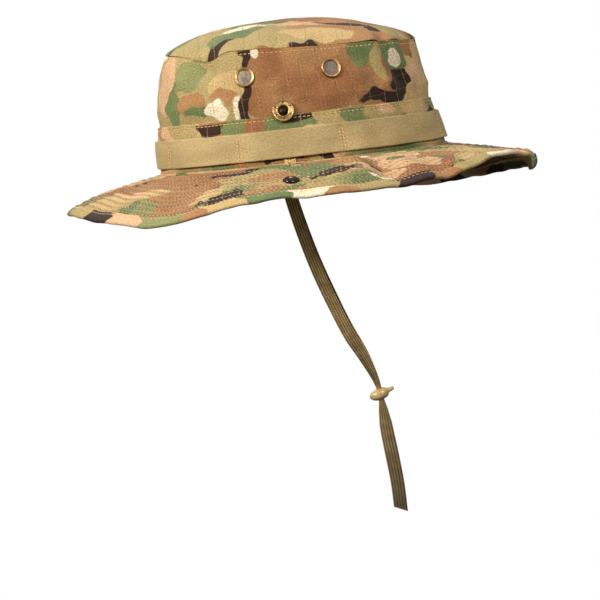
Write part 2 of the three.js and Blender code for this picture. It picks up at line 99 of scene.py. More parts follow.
world = bpy.data.worlds.new("world")
SCENE.world = world
world.use_nodes = True
wn, wl = world.node_tree.nodes, world.node_tree.links
wn.clear()
w_out = wn.new("ShaderNodeOutputWorld")
w_mix = wn.new("ShaderNodeMixShader")
w_lp = wn.new("ShaderNodeLightPath")
w_a = wn.new("ShaderNodeBackground")
w_b = wn.new("ShaderNodeBackground")
w_a.inputs[1].default_value = 0.62
w_co = wn.new("ShaderNodeTexCoord")
w_sp = wn.new("ShaderNodeSeparateXYZ")
w_rp = wn.new("ShaderNodeMapRange")
w_rp.interpolation_type = "SMOOTHSTEP"
w_rp.inputs["From Min"].default_value = -0.04
w_rp.inputs["From Max"].default_value = 0.60
w_rp.inputs["To Min"].default_value = 0.02
w_rp.inputs["To Max"].default_value = 0.95
w_cb = wn.new("ShaderNodeCombineColor")
wl.new(w_co.outputs["Generated"], w_sp.inputs[0])
wl.new(w_sp.outputs["Z"], w_rp.inputs["Value"])
for _k in range(3):
    wl.new(w_rp.outputs[0], w_cb.inputs[_k])
wl.new(w_cb.outputs[0], w_a.inputs[0])
w_b.inputs[0].default_value = (1, 1, 1, 1)
w_b.inputs[1].default_value = 1.0
wl.new(w_lp.outputs["Is Camera Ray"], w_mix.inputs[0])
wl.new(w_a.outputs[0], w_mix.inputs[1])
wl.new(w_b.outputs[0], w_mix.inputs[2])
wl.new(w_mix.outputs[0], w_out.inputs[0])


# ------------------------------------------------------------------ node helpers
class Nodes:
    def __init__(self, name):
        self.mat = bpy.data.materials.new(name)
        self.mat.use_nodes = True
        self.t = self.mat.node_tree
        self.t.nodes.clear()
        self.out = self.t.nodes.new("ShaderNodeOutputMaterial")
        self.bsdf = self.t.nodes.new("ShaderNodeBsdfPrincipled")
        self.t.links.new(self.bsdf.outputs[0], self.out.inputs[0])

    def set(self, sock, value):
        if isinstance(value, bpy.types.NodeSocket):
            self.t.links.new(value, sock)
        elif value is not None:
            sock.default_value = value

    def uv(self):
        n = self.t.nodes.new("ShaderNodeUVMap")
        n.uv_map = "cloth"
        return n.outputs[0]

    def obj(self):
        return self.t.nodes.new("ShaderNodeTexCoord").outputs["Object"]

    def math(self, op, a, b=None, c=None, clamp=False):
        n = self.t.nodes.new("ShaderNodeMath")
        n.operation = op
        n.use_clamp = clamp
        for s, v in zip(n.inputs, (a, b, c)):
            self.set(s, v)
        return n.outputs[0]

    def vmath(self, op, a, b=None, scale=None):
        n = self.t.nodes.new("ShaderNodeVectorMath")
        n.operation = op
        self.set(n.inputs[0], a)
        if b is not None:
            self.set(n.inputs[1], b)
        if scale is not None:
            self.set(n.inputs["Scale"], scale)
        return n.outputs[0]

    def mapping(self, v, loc=(0, 0, 0), rot=0.0, scale=(1, 1, 1)):
        n = self.t.nodes.new("ShaderNodeMapping")
        self.set(n.inputs["Vector"], v)
        n.inputs["Location"].default_value = loc
        n.inputs["Rotation"].default_value = (0, 0, rot)
        n.inputs["Scale"].default_value = scale
        return n.outputs[0]

    def noise(self, v, scale=1.0, detail=0.0, rough=0.5, color=False):
        n = self.t.nodes.new("ShaderNodeTexNoise")
        self.set(n.inputs["Vector"], v)
        n.inputs["Scale"].default_value = scale
        n.inputs["Detail"].default_value = detail
        n.inputs["Roughness"].default_value = rough
        return n.outputs["Color" if color else "Fac"]

    def step(self, v, lo, hi):
        """0 under lo, 1 over hi, smooth between."""
        n = self.t.nodes.new("ShaderNodeMapRange")
        n.interpolation_type = "SMOOTHSTEP"
        self.set(n.inputs["Value"], v)
        n.inputs["From Min"].default_value = lo
        n.inputs["From Max"].default_value = hi
        n.inputs["To Min"].default_value = 0.0
        n.inputs["To Max"].default_value = 1.0
        return n.outputs[0]

    def span(self, v, lo, hi, a, b):
        n = self.t.nodes.new("ShaderNodeMapRange")
        self.set(n.inputs["Value"], v)
        n.inputs["From Min"].default_value = lo
        n.inputs["From Max"].default_value = hi
        n.inputs["To Min"].default_value = a
        n.inputs["To Max"].default_value = b
        return n.outputs[0]

    def mix(self, fac, a, b, mode="MIX"):
        n = self.t.nodes.new("ShaderNodeMix")
        n.data_type = "RGBA"
        n.blend_type = mode
        self.set(n.inputs[0], fac)
        self.set(n.inputs[6], a)
        self.set(n.inputs[7], b)
        return n.outputs[2]

    def sep(self, v):
        n = self.t.nodes.new("ShaderNodeSeparateXYZ")
        self.set(n.inputs[0], v)
        return n.outputs

    def comb(self, x, y, z=0.0):
        n = self.t.nodes.new("ShaderNodeCombineXYZ")
        for s, v in zip(n.inputs, (x, y, z)):
            self.set(s, v)
        return n.outputs[0]

    def bump(self, height, dist, strength=1.0, normal=None):
        n = self.t.nodes.new("ShaderNodeBump")
        self.set(n.inputs["Height"], height)
        n.inputs["Distance"].default_value = dist
        n.inputs["Strength"].default_value = strength
        if normal is not None:
            self.set(n.inputs["Normal"], normal)
        return n.outputs[0]

    def lines(self, coord, period, width, soft):
        """1 on thin lines each period apart."""
        m = self.math("PINGPONG", coord, period / 2.0)
        return self.math("SUBTRACT", 1.0, self.step(m, width / 2, width / 2 + soft))


TAN, KHAKI = (212, 178, 120), (184, 160, 104)
BROWN_A, BROWN_B = (160, 106, 66), (182, 132, 84)
GREEN_A, GREEN_B = (112, 126, 76), (146, 146, 92)
DARK = (58, 38, 28)
CREAM = (248, 228, 192)
PEACH = (226, 180, 134)
INKS = {"tan": TAN, "khaki": KHAKI, "brown": BROWN_A, "light": BROWN_B, "green": GREEN_A, "olive": GREEN_B, "dark": DARK, "cream": CREAM, "peach": PEACH}


def cloth_finish(n, color, uv_mm, weave=0.62, bump_in=None, rough=0.92, sheen=0.08):
    """Weave and speckle common to the printed cloths."""
    x, y, _ = n.sep(uv_mm)
    warp = n.math("SINE", n.math("MULTIPLY", x, 2 * math.pi / weave))
    weft = n.math("SINE", n.math("MULTIPLY", y, 2 * math.pi / weave))
    cross = n.math("MULTIPLY", warp, weft)
    fuzz = n.noise(n.mapping(uv_mm, (0, 0, 0), 0.0, (1.0, 1.35, 1.0)), 0.70, 4.0, 0.78)
    speck = n.span(fuzz, 0.32, 0.68, 0.46, 1.46)
    color = n.mix(1.0, color, n.comb(speck, speck, n.math("POWER", speck, 1.15)), "MULTIPLY")
    slow = n.span(n.noise(uv_mm, 0.045, 2.0), 0.3, 0.7, 0.90, 1.07)
    color = n.mix(1.0, color, n.comb(slow, slow, slow), "MULTIPLY")
    h = n.math("ADD", n.math("MULTIPLY", cross, 0.25), n.math("MULTIPLY", fuzz, 1.3))
    if bump_in is not None:
        h = n.math("ADD", h, bump_in)
    n.set(n.bsdf.inputs["Base Color"], color)
    n.set(n.bsdf.inputs["Normal"], n.bump(h, 0.00042, 0.9))
    n.set(n.bsdf.inputs["Roughness"], n.span(fuzz, 0.3, 0.7, rough - 0.05, min(1.0, rough + 0.05)))
    n.bsdf.inputs["Specular IOR Level"].default_value = 0.18
    n.bsdf.inputs["Sheen Weight"].default_value = sheen
    n.bsdf.inputs["Sheen Roughness"].default_value = 0.5
    return color


def camo(name, seed, spots=(), grid=True, size=1.4, painted_shade=1.0, rot=0.0, tilt=0.0, wobble=1.0, rows=False):
    """A generic blotched print on ripstop cloth. spots are (u, v, half width, half height, turn, ink) in mm, laid over the noise blotches in turn."""
    n = Nodes(name)
    uv = n.vmath("SCALE", n.uv(), scale=1000.0)
    rng = np.random.default_rng(seed)
    off = lambda: tuple(float(v) for v in rng.uniform(-90, 90, 3))
    p = n.mapping(uv, (0, 0, 0), rot)
    w1 = n.vmath("SUBTRACT", n.noise(n.mapping(p, off()), 1 / (30 * size), 1.0, 0.5, True), (0.5, 0.5, 0.5))
    w2 = n.vmath("SUBTRACT", n.noise(n.mapping(p, off()), 1 / (8 * size), 1.0, 0.5, True), (0.5, 0.5, 0.5))
    wp = n.vmath("ADD", n.vmath("ADD", p, n.vmath("SCALE", w1, scale=26.0 * size)), n.vmath("SCALE", w2, scale=5.0 * size))
    w3 = n.vmath("SUBTRACT", n.noise(n.mapping(uv, off()), 1 / 19.0, 1.6, 0.5, True), (0.5, 0.5, 0.5))
    sp = n.vmath("ADD", uv, n.vmath("SCALE", w3, scale=22.0 * wobble))

    def blob(sx, sy, turn=0.0, detail=0.5):
        return n.noise(n.mapping(wp, off(), turn, (1 / (sx * size), 1 / (sy * size), 0.01)), 1.0, detail, 0.45)

    e = 0.008
    base = n.mix(n.step(blob(44, 28), 0.38, 0.62), lin(TAN), lin(KHAKI))
    base = n.mix(n.step(blob(30, 18, 0.2), 0.57, 0.61), base, lin(PEACH))
    gm = blob(44, 26, 0.35)
    base = n.mix(n.step(gm, 0.525, 0.575), base, lin(GREEN_B))
    green = n.mix(n.step(blob(16, 12), 0.35, 0.65), lin(GREEN_A), lin(tuple(0.7 * a + 0.3 * b for a, b in zip(GREEN_A, GREEN_B))))
    base = n.mix(n.step(gm, 0.60, 0.60 + e), base, green)
    brown = n.mix(n.step(blob(30, 22), 0.35, 0.66), lin(BROWN_A), lin(BROWN_B))
    base = n.mix(n.step(blob(52, 34), 0.545, 0.545 + e), base, brown)
    base = n.mix(n.step(blob(34, 18, -0.3), 0.665, 0.665 + e), base, green)
    base = n.mix(n.step(blob(30, 13, 0.30, 0.3), 0.685, 0.685 + e), base, lin(DARK))
    base = n.mix(n.step(blob(20, 12, 0.28, 0.2), 0.735, 0.735 + e), base, lin(CREAM))
    for u, v, ru, rv, turn, ink in spots:
        q = n.mapping(n.vmath("SUBTRACT", sp, (u, v, 0.0)), (0, 0, 0), -math.radians(turn), (1 / ru, 1 / rv, 0.0))
        d = n.t.nodes.new("ShaderNodeVectorMath")
        d.operation = "LENGTH"
        n.set(d.inputs[0], q)
        soft = 0.9 / min(ru, rv)
        m = n.math("SUBTRACT", 1.0, n.step(d.outputs["Value"], 1.0 - soft / 2, 1.0 + soft / 2))
        base = n.mix(m, base, brown if ink == "brown" else (green if ink == "green" else lin(INKS[ink])))
    h = None
    if grid:
        x, y, _ = n.sep(n.mapping(uv, (0, 0, 0), tilt))
        wob = n.math("MULTIPLY", n.math("SUBTRACT", n.noise(uv, 0.25, 1.0), 0.5), 0.6)
        gx = n.lines(n.math("ADD", x, wob), 11.8, 0.34, 0.26)
        gy = n.lines(n.math("ADD", y, wob), 8.6, 0.20, 0.22)
        g = n.math("MAXIMUM", gx, n.math("MULTIPLY", gy, 0.45))
        brk = n.span(n.noise(uv, 0.9, 2.0), 0.38, 0.6, 0.1, 1.0)
        g = n.math("MULTIPLY", g, brk)
        base = n.mix(n.math("MULTIPLY", g, 0.55), base, lin((228, 188, 136)))
        h = n.math("MULTIPLY", g, 1.8)
    if rows:
        rm = n.t.nodes.new("ShaderNodeUVMap")
        rm.uv_map = "rows"
        rv = n.vmath("SCALE", rm.outputs[0], scale=1000.0)
        ra, rs, _ = n.sep(rv)
        rs = n.math("ADD", rs, n.math("MULTIPLY", n.math("SUBTRACT", n.noise(rv, 0.6, 1.0), 0.5), 0.5))
        near = n.math("PINGPONG", n.math("SUBTRACT", rs, 9.5), 3.025)
        groove_and_painted_shading = n.math("SUBTRACT", 1.0, n.step(near, 0.25, 1.25))
        inside = n.math("MULTIPLY", n.step(rs, 8.0, 8.6), n.math("SUBTRACT", 1.0, n.step(rs, 65.0, 66.0)))
        groove_and_painted_shading = n.math("MULTIPLY", groove_and_painted_shading, inside)
        near2 = n.math("SUBTRACT", 1.0, n.step(near, 0.3, 2.6))
        ply = n.math("SINE", n.math("ADD", n.math("MULTIPLY", ra, 2 * math.pi / 3.3), n.math("MULTIPLY", n.noise(rv, 0.3, 1.0), 9.0)))
        ply = n.math("MULTIPLY", n.math("MULTIPLY", ply, near2), inside)
        # painted shade in the quilting grooves, and painted light and shade on the puckers beside the rows
        painted_row_shading = n.math("SUBTRACT", n.math("SUBTRACT", 1.0, n.math("MULTIPLY", groove_and_painted_shading, 0.34)), n.math("MULTIPLY", ply, -0.09))
        base = n.mix(1.0, base, n.comb(painted_row_shading, painted_row_shading, painted_row_shading), "MULTIPLY")
        h = n.math("ADD", h, n.math("SUBTRACT", n.math("MULTIPLY", ply, 1.5), n.math("MULTIPLY", groove_and_painted_shading, 2.0)))
    # painted shade: the whole print darkened, used for the brim's underside
    if painted_shade != 1.0:
        base = n.mix(1.0, base, (painted_shade, painted_shade, painted_shade, 1), "MULTIPLY")
    cloth_finish(n, base, uv, bump_in=h)
    return n.mat


def twill(name, color, color2, pitch=0.95, contrast=0.10, rough=0.85, sheen=0.15, angle=0.9, stripe=None):
    n = Nodes(name)
    uv = n.vmath("SCALE", n.uv(), scale=1000.0)
    x, y, _ = n.sep(n.mapping(uv, (0, 0, 0), angle))
    rib = n.math("SINE", n.math("MULTIPLY", x, 2 * math.pi / pitch))
    fuzz = n.noise(uv, 0.75, 4.0, 0.8)
    slow = n.noise(n.mapping(uv, (3, 7, 1), 0, (0.4, 1, 1)), 0.05, 2.0)
    c = n.mix(n.step(slow, 0.35, 0.65), lin(color), lin(color2))
    v = n.math("ADD", n.span(fuzz, 0.32, 0.68, 0.66, 1.32), n.math("MULTIPLY", rib, contrast / 2))
    c = n.mix(1.0, c, n.comb(v, v, v), "MULTIPLY")
    h = n.math("ADD", n.math("MULTIPLY", rib, 0.45), n.math("MULTIPLY", fuzz, 0.7))
    n.set(n.bsdf.inputs["Base Color"], c)
    n.set(n.bsdf.inputs["Normal"], n.bump(h, 0.00025, 0.6))
    n.set(n.bsdf.inputs["Roughness"], n.span(fuzz, 0.3, 0.7, rough - 0.06, rough + 0.06))
    n.bsdf.inputs["Specular IOR Level"].default_value = 0.25
    n.bsdf.inputs["Sheen Weight"].default_value = sheen
    n.bsdf.inputs["Sheen Roughness"].default_value = 0.5
    return n.mat


def thread_mat(name, color, rough=0.6):
    n = Nodes(name)
    o = n.vmath("SCALE", n.obj(), scale=1000.0)
    f = n.noise(o, 0.9, 2.0)
    twist = n.math("SINE", n.math("MULTIPLY", n.sep(n.mapping(o, (0, 0, 0), 0.8))[0], 9.0))
    v = n.span(f, 0.3, 0.7, 0.80, 1.15)
    c = n.mix(1.0, lin(color), n.comb(v, v, v), "MULTIPLY")
    n.set(n.bsdf.inputs["Base Color"], c)
    n.set(n.bsdf.inputs["Normal"], n.bump(twist, 0.00005, 0.5))
    n.bsdf.inputs["Roughness"].default_value = rough
    n.bsdf.inputs["Specular IOR Level"].default_value = 0.4
    return n.mat


def metal_mat(name, color, dark, rough=0.32, metallic=1.0, grime=0.5, bump=0.00003):
    n = Nodes(name)
    o = n.vmath("SCALE", n.obj(), scale=1000.0)
    f = n.noise(o, 0.55, 4.0, 0.6)
    f2 = n.noise(o, 3.0, 3.0, 0.6)
    c = n.mix(n.math("MULTIPLY", n.step(f, 0.45, 0.7), grime), lin(color), lin(dark))
    n.set(n.bsdf.inputs["Base Color"], c)
    n.bsdf.inputs["Metallic"].default_value = metallic
    n.set(n.bsdf.inputs["Roughness"], n.span(f, 0.3, 0.7, rough - 0.08, rough + 0.16))
    n.set(n.bsdf.inputs["Normal"], n.bump(f2, bump, 0.5))
    return n.mat


def plastic_mat(name, color, color2, rough=0.22):
    n = Nodes(name)
    o = n.vmath("SCALE", n.obj(), scale=1000.0)
    f = n.noise(o, 0.35, 3.0, 0.5)
    f2 = n.noise(o, 2.2, 3.0, 0.6)
    c = n.mix(n.step(f, 0.35, 0.65), lin(color), lin(color2))
    n.set(n.bsdf.inputs["Base Color"], c)
    n.set(n.bsdf.inputs["Roughness"], n.span(f2, 0.3, 0.7, rough, rough + 0.14))
    n.set(n.bsdf.inputs["Normal"], n.bump(f2, 0.00006, 0.4))
    n.bsdf.inputs["Coat Weight"].default_value = 0.35
    n.bsdf.inputs["Coat Roughness"].default_value = 0.15
    n.bsdf.inputs["Subsurface Weight"].default_value = 0.0
    return n.mat


def braid_mat(name, color, color2):
    n = Nodes(name)
    uv = n.vmath("SCALE", n.uv(), scale=1000.0)
    x, y, _ = n.sep(uv)  # x along, y across
    a = n.math("ABSOLUTE", n.math("SINE", n.math("MULTIPLY", y, math.pi / 1.75)))
    s1 = n.math("SINE", n.math("ADD", n.math("MULTIPLY", x, 2 * math.pi / 1.15), n.math("MULTIPLY", a, 2.4)))
    fuzz = n.noise(uv, 1.8, 3.0, 0.7)
    # painted light and shade along the strap: lighter near the top, where the brim's shadow falls, and darker with the
    # distance down the strap and its tail
    c = n.mix(n.step(n.noise(uv, 0.12, 2.0), 0.35, 0.65), lin(color), lin(color2))
    v = n.math("ADD", n.span(fuzz, 0.3, 0.7, 0.90, 1.08), n.math("MULTIPLY", s1, 0.04))
    # painted shade in the gaps between the braid's ribs
    groove_and_painted_shading = n.span(a, 0.05, 0.66, 0.08, 1.18)
    # painted shade down the tail, below the slider
    groove_and_painted_shading = n.math("MULTIPLY", groove_and_painted_shading, n.span(x, 188.0, 215.0, 1.0, 0.36))
    groove_and_painted_shading = n.math("MULTIPLY", groove_and_painted_shading, n.span(x, 225.0, 290.0, 1.0, 0.42))
    # painted light near the top, under the brim's shadow
    groove_and_painted_shading = n.math("MULTIPLY", groove_and_painted_shading, n.span(x, 40.0, 170.0, 1.35, 0.92))
    v = n.math("MULTIPLY", v, groove_and_painted_shading)
    c = n.mix(1.0, c, n.comb(v, v, v), "MULTIPLY")
    h = n.math("ADD", n.math("ADD", n.math("MULTIPLY", s1, 0.35), n.math("MULTIPLY", fuzz, 0.25)), n.math("MULTIPLY", a, 1.6))
    n.set(n.bsdf.inputs["Base Color"], c)
    n.set(n.bsdf.inputs["Normal"], n.bump(h, 0.0002, 0.6))
    n.bsdf.inputs["Roughness"].default_value = 0.72
    n.bsdf.inputs["Specular IOR Level"].default_value = 0.35
    n.bsdf.inputs["Sheen Weight"].default_value = 0.2
    return n.mat


ARC0 = 142.2  # the strip's cloth coordinate at the right side's middle
SPOTS_RIGHT = [
    (-78, 52, 60, 46, 0, "khaki"),
    (-118, 62, 12, 22, 10, "peach"),
    (-92, 70, 15, 9, 20, "olive"),
    (-104, 44, 9, 20, -15, "green"),
    (-84, 50, 15, 9, -25, "brown"),
    (-72, 41, 17, 5, 10, "green"),
    (-62, 41, 8, 5.5, 25, "cream"),
    (-54, 62, 15, 8, 15, "tan"),
    (-55, 52, 9, 6, 0, "light"),
    (2, 56, 43, 40, 0, "brown"),
    (-39.5, 78, 3.6, 8, 0, "dark"),
    (-33.5, 78, 3.4, 6.5, -14, "cream"),
    (-40, 47, 4.4, 18, 3, "dark"),
    (-46.5, 44, 2.7, 10, -8, "cream"),
    (88, 58, 44, 40, 0, "tan"),
    (60, 60, 30, 34, 0, "brown"),
    (52, 74, 13, 10, 0, "green"),
    # painted highlight: a khaki stripe along the ridge of the crease at the right front
    (66, 66, 5, 15, 8, "khaki"),
    (86, 70, 14, 16, 0, "green"),
    (84, 66, 5.5, 5, 20, "cream"),
    (82, 50, 11, 9, -20, "dark"),
    (66, 40, 18, 4.5, 4, "dark"),
    (99, 50, 8, 9, 0, "peach"),
    (108, 54, 8, 9, 0, "peach"),
    (108, 74, 9, 7, 0, "brown"),
]
SPOTS_DOME = [
    (-30, -56, 50, 22, 0, "khaki"),
    (52, -50, 52, 26, 0, "light"),
    (20, -60, 26, 9, 8, "tan"),
    (8, -36, 22, 7, 10, "peach"),
    (-70, -30, 26, 18, 0, "khaki"),
    (-58, -54, 15, 5, 28, "dark"),
    (-40, -46, 22, 7, 20, "green"),
    (-34, -36, 18, 4, 22, "cream"),
    (-12, -30, 14, 5, 35, "green"),
    (-14, -22, 12, 3, 30, "dark"),
    (44, -34, 26, 3.6, -6, "dark"),
    (60, -42, 9, 7, 0, "dark"),
    (78, -30, 20, 12, 0, "khaki"),
]
STRIP_SPOTS = [(ARC0 - u, 31.0, ru, rv, t, k) for u, ru, rv, t, k in ((-112, 13, 8, 0, "peach"), (-95, 16, 8, 0, "khaki"), (-66, 15, 5.5, 6, "dark"), (-48, 9, 7, 0, "green"), (-30, 12, 9, 0, "brown"), (-4, 22, 8, 0, "green"), (2, 12, 3, 4, "dark"), (25, 16, 8, 0, "khaki"), (43, 15, 6, 0, "green"), (66, 18, 9, 0, "khaki"), (64, 8, 4, 0, "peach"), (92, 14, 9, 0, "tan"))]
BRIM_SPOTS = [
    (-96, -104, 34, 26, 25, "brown"),
    (-120, -96, 10, 17, 40, "olive"),
    (-128, -84, 9, 8, 0, "green"),
    (-58, -134, 16, 8, 20, "dark"),
    (-66, -118, 14, 9, -20, "tan"),
    (-42, -108, 18, 15, 0, "khaki"),
    (-22, -112, 17, 13, 20, "light"),
    (6, -106, 18, 15, 10, "green"),
    (20, -124, 22, 4.5, 6, "dark"),
    (-4, -132, 16, 7, 0, "khaki"),
    (40, -104, 22, 14, 0, "light"),
    (54, -122, 18, 8, 10, "peach"),
    (72, -100, 22, 15, 20, "peach"),
    (64, -94, 7, 5, 0, "green"),
    (92, -88, 16, 12, 0, "light"),
    (94, -96, 7, 6, 0, "green"),
    (116, -70, 16, 16, 0, "tan"),
    (128, -52, 12, 12, 0, "green"),
    (140, -30, 10, 14, 0, "dark"),
    (44, -116, 6, 4, 0, "dark"),
]
_inks = "dark green khaki peach cream khaki brown dark khaki light cream green tan brown olive peach dark khaki".split()
_brng = np.random.default_rng(12)
BIND_SPOTS = []
_x = -8.0
_i = 0
while _x < 1180:
    _w = float(_brng.uniform(11, 19))
    BIND_SPOTS.append((_x + _w, float(_brng.uniform(4, 14)), _w * 1.1, float(_brng.uniform(8, 15)), float(_brng.uniform(-15, 15)), _inks[_i % len(_inks)]))
    _x += 2 * _w * 0.92
    _i += 1
BIND_A, BIND_B = [q for q in BIND_SPOTS if q[0] < 500], [(q[0] + 700 - 560, *q[1:]) for q in BIND_SPOTS if 560 <= q[0] < 1060]

M = {
    "dome": camo("camo_dome", 11, SPOTS_DOME),
    "right": camo("camo_right", 5, SPOTS_RIGHT, tilt=math.radians(-6.0)),
    "left": camo("camo_left", 7, tilt=math.radians(6.0)),
    "strip": camo("camo_strip", 23, STRIP_SPOTS, wobble=0.7),
    "brim": camo("camo_brim", 31, BRIM_SPOTS, rows=True),
    # the brim's underside: the same print darkened as painted shade
    "under": camo("camo_under_shaded", 37, painted_shade=0.55, rows=True),
    "bind_right": camo("camo_binding_a", 43, BIND_A, grid=False, wobble=0.8),
    "bind_left": camo("camo_binding_b", 47, BIND_B, grid=False, wobble=0.8),
    "tape": twill("webbing", (186, 160, 110), (166, 142, 94), 0.95, 0.24),
    "band": twill("sweatband", (176, 156, 112), (160, 140, 98), 1.1, 0.14),
    "lining": twill("seam_tape", (170, 150, 108), (158, 138, 98), 0.8, 0.1),
    "thread": thread_mat("thread_gold", (222, 180, 118)),
    "thread_pale": thread_mat("thread_pale", (232, 190, 122)),
    "brass": metal_mat("brass", (176, 142, 92), (84, 60, 34), 0.36, grime=0.7),
    "brass_dark": metal_mat("brass_dark", (58, 44, 28), (20, 14, 9), 0.5),
    "black": metal_mat("black_lacquer", (10, 7, 6), (24, 17, 13), 0.12, metallic=0.0, grime=0.6),
    "wire": metal_mat("wire", (190, 186, 178), (96, 90, 82), 0.42),
    # painted shadow for the dark disc behind each eyelet's mesh
    "shadow": metal_mat("shadow_disc", (40, 36, 33), (22, 19, 17), 0.8, metallic=0.0),
    "braid": braid_mat("braid", (224, 188, 124), (200, 162, 98)),
    "slider": plastic_mat("slider", (204, 176, 118), (180, 148, 92)),
}

floor_n = Nodes("floor")
# it looks pale but throws little light back up, so the brim's underside stays dark
seen = floor_n.t.nodes.new("ShaderNodeLightPath").outputs["Is Camera Ray"]
pale = floor_n.mix(floor_n.noise(floor_n.obj(), 3.0, 3.0), (0.72, 0.725, 0.73, 1), (0.76, 0.76, 0.765, 1))
floor_n.set(floor_n.bsdf.inputs["Base Color"], floor_n.mix(seen, (0.16, 0.16, 0.16, 1), pale))
floor_n.bsdf.inputs["Roughness"].default_value = 0.6


# ------------------------------------------------------------------ mesh helpers
def make(name, verts, faces, mat, uv=None, smooth=True, mm=True):
    """A mesh object from vertices in mm. uv is one (u, v) pair, in metres, per face corner."""
    v = np.asarray(verts, float).reshape(-1, 3) * (MM if mm else 1.0)
    me = bpy.data.meshes.new(name)
    faces = faces.tolist() if isinstance(faces, np.ndarray) else faces
    me.from_pydata(v.tolist(), [], faces)
    if uv is not None:
        lay = me.uv_layers.new(name="cloth")
        lay.data.foreach_set("uv", np.asarray(uv, np.float32).ravel())
    me.polygons.foreach_set("use_smooth", [smooth] * len(me.polygons))
    me.materials.append(mat)
    me.update()
    o = bpy.data.objects.new(name, me)
    SCENE.collection.objects.link(o)
    return o


def floor():
    s = 1.0
    n = 12
    g = np.linspace(-s, s, n + 1)
    P = np.array([(x, y, -1.0) for x in g for y in g])
    F = [(i * (n + 1) + j, (i + 1) * (n + 1) + j, (i + 1) * (n + 1) + j + 1, i * (n + 1) + j + 1) for i in range(n) for j in range(n)]
    o = make("floor", P, F, floor_n.mat, mm=False)


floor()


def quads(nu, nv, closed_u, flip=False, base=0):
    """Faces of a grid of nu by nv vertices, and the grid index of each corner (with the wrap unrolled)."""
    iu = np.arange(nu if closed_u else nu - 1)
    iv = np.arange(nv - 1)
    I, J = np.meshgrid(iu, iv, indexing="ij")
    I, J = I.ravel(), J.ravel()
    I2 = (I + 1) % nu
    f = np.stack([I * nv + J, I2 * nv + J, I2 * nv + J + 1, I * nv + J + 1], 1) + base
    c = np.stack([I * nv + J, (I + 1) * nv + J, (I + 1) * nv + J + 1, I * nv + J + 1], 1)
    if flip:
        f, c = f[:, ::-1], c[:, ::-1]
    return f, c


def shell(name, top, bot, uv_top, uv_bot, mat, closed_u=False, flip=False):
    """A closed sheet from two grids of points (nu, nv, 3). uv grids have nu + 1 columns where the grid is closed."""
    nu, nv = top.shape[:2]
    n = nu * nv
    f1, c1 = quads(nu, nv, closed_u, flip)
    f2, c2 = quads(nu, nv, closed_u, not flip, n)
    faces, uvs = [f1, f2], [uv_top.reshape(-1, 2)[c1], uv_bot.reshape(-1, 2)[c2]]
    iu = np.arange(nu if closed_u else nu - 1)
    for j, fl in ((0, True), (nv - 1, False)):
        a = iu * nv + j
        b = ((iu + 1) % nu) * nv + j
        f = np.stack([a, b, b + n, a + n], 1)
        g = np.stack([iu * nv + j, (iu + 1) * nv + j, (iu + 1) * nv + j, iu * nv + j], 1)
        if fl == flip:
            f, g = f[:, ::-1], g[:, ::-1]
        f, g = f[:, ::-1], g[:, ::-1]
        faces.append(f)
        uvs.append(uv_top.reshape(-1, 2)[g])
    if not closed_u:
        jv = np.arange(nv - 1)
        for i, fl in ((0, False), (nu - 1, True)):
            a = i * nv + jv
            f = np.stack([a, a + 1, a + 1 + n, a + n], 1)
            g = np.stack([a, a + 1, a + 1, a], 1)
            if fl == flip:
                f, g = f[:, ::-1], g[:, ::-1]
            f, g = f[:, ::-1], g[:, ::-1]
            faces.append(f)
            uvs.append(uv_top.reshape(-1, 2)[g])
    o = make(name, np.concatenate([top.reshape(-1, 3), bot.reshape(-1, 3)]), np.concatenate(faces), mat, np.concatenate(uvs).reshape(-1, 2))
    return o


def loop_sweep(name, sections, mat, uvs, closed_u, flip=False):
    """Sections (nu, k, 3) of a closed outline of k points swept along u; ends are capped. uvs is (nu + closed, k + 1, 2)."""
    nu, k = sections.shape[:2]
    iu = np.arange(nu if closed_u else nu - 1)
    I, J = np.meshgrid(iu, np.arange(k), indexing="ij")
    I, J = I.ravel(), J.ravel()
    I2, J2 = (I + 1) % nu, (J + 1) % k
    f = np.stack([I * k + J, I2 * k + J, I2 * k + J2, I * k + J2], 1)
    g = np.stack([I * (k + 1) + J, (I + 1) * (k + 1) + J, (I + 1) * (k + 1) + J + 1, I * (k + 1) + J + 1], 1)
    if flip:
        f, g = f[:, ::-1], g[:, ::-1]
    u = uvs.reshape(-1, 2)[g].reshape(-1, 2)
    faces = f.tolist()
    if not closed_u:
        a = list(range(k))
        b = [(nu - 1) * k + j for j in range(k)]
        if flip:
            faces += [a, b[::-1]]
        else:
            faces += [a[::-1], b]
        u = np.concatenate([u, uvs[0, :k][::-1] if not flip else uvs[0, :k], uvs[nu - 1, :k] if not flip else uvs[nu - 1, :k][::-1]])
    return make(name, sections.reshape(-1, 3), faces, mat, u)


def unit(v):
    return v / np.maximum(np.linalg.norm(v, axis=-1, keepdims=True), 1e-12)


class Lattice:
    """Smooth value noise in 3-D, from a seeded lattice."""

    def __init__(self, seed):
        self.g = np.random.default_rng(seed).uniform(-1, 1, (24, 24, 24))

    def __call__(self, P, scale):
        q = np.asarray(P, float) / scale + 100.0
        i = np.floor(q).astype(int)
        f = q - i
        f = f * f * (3 - 2 * f)
        out = 0
        for a in (0, 1):
            for b in (0, 1):
                for c in (0, 1):
                    w = (f[..., 0] if a else 1 - f[..., 0]) * (f[..., 1] if b else 1 - f[..., 1]) * (f[..., 2] if c else 1 - f[..., 2])
                    out = out + w * self.g[(i[..., 0] + a) % 24, (i[..., 1] + b) % 24, (i[..., 2] + c) % 24]
        return out


N1, N2, N3 = Lattice(1), Lattice(2), Lattice(3)


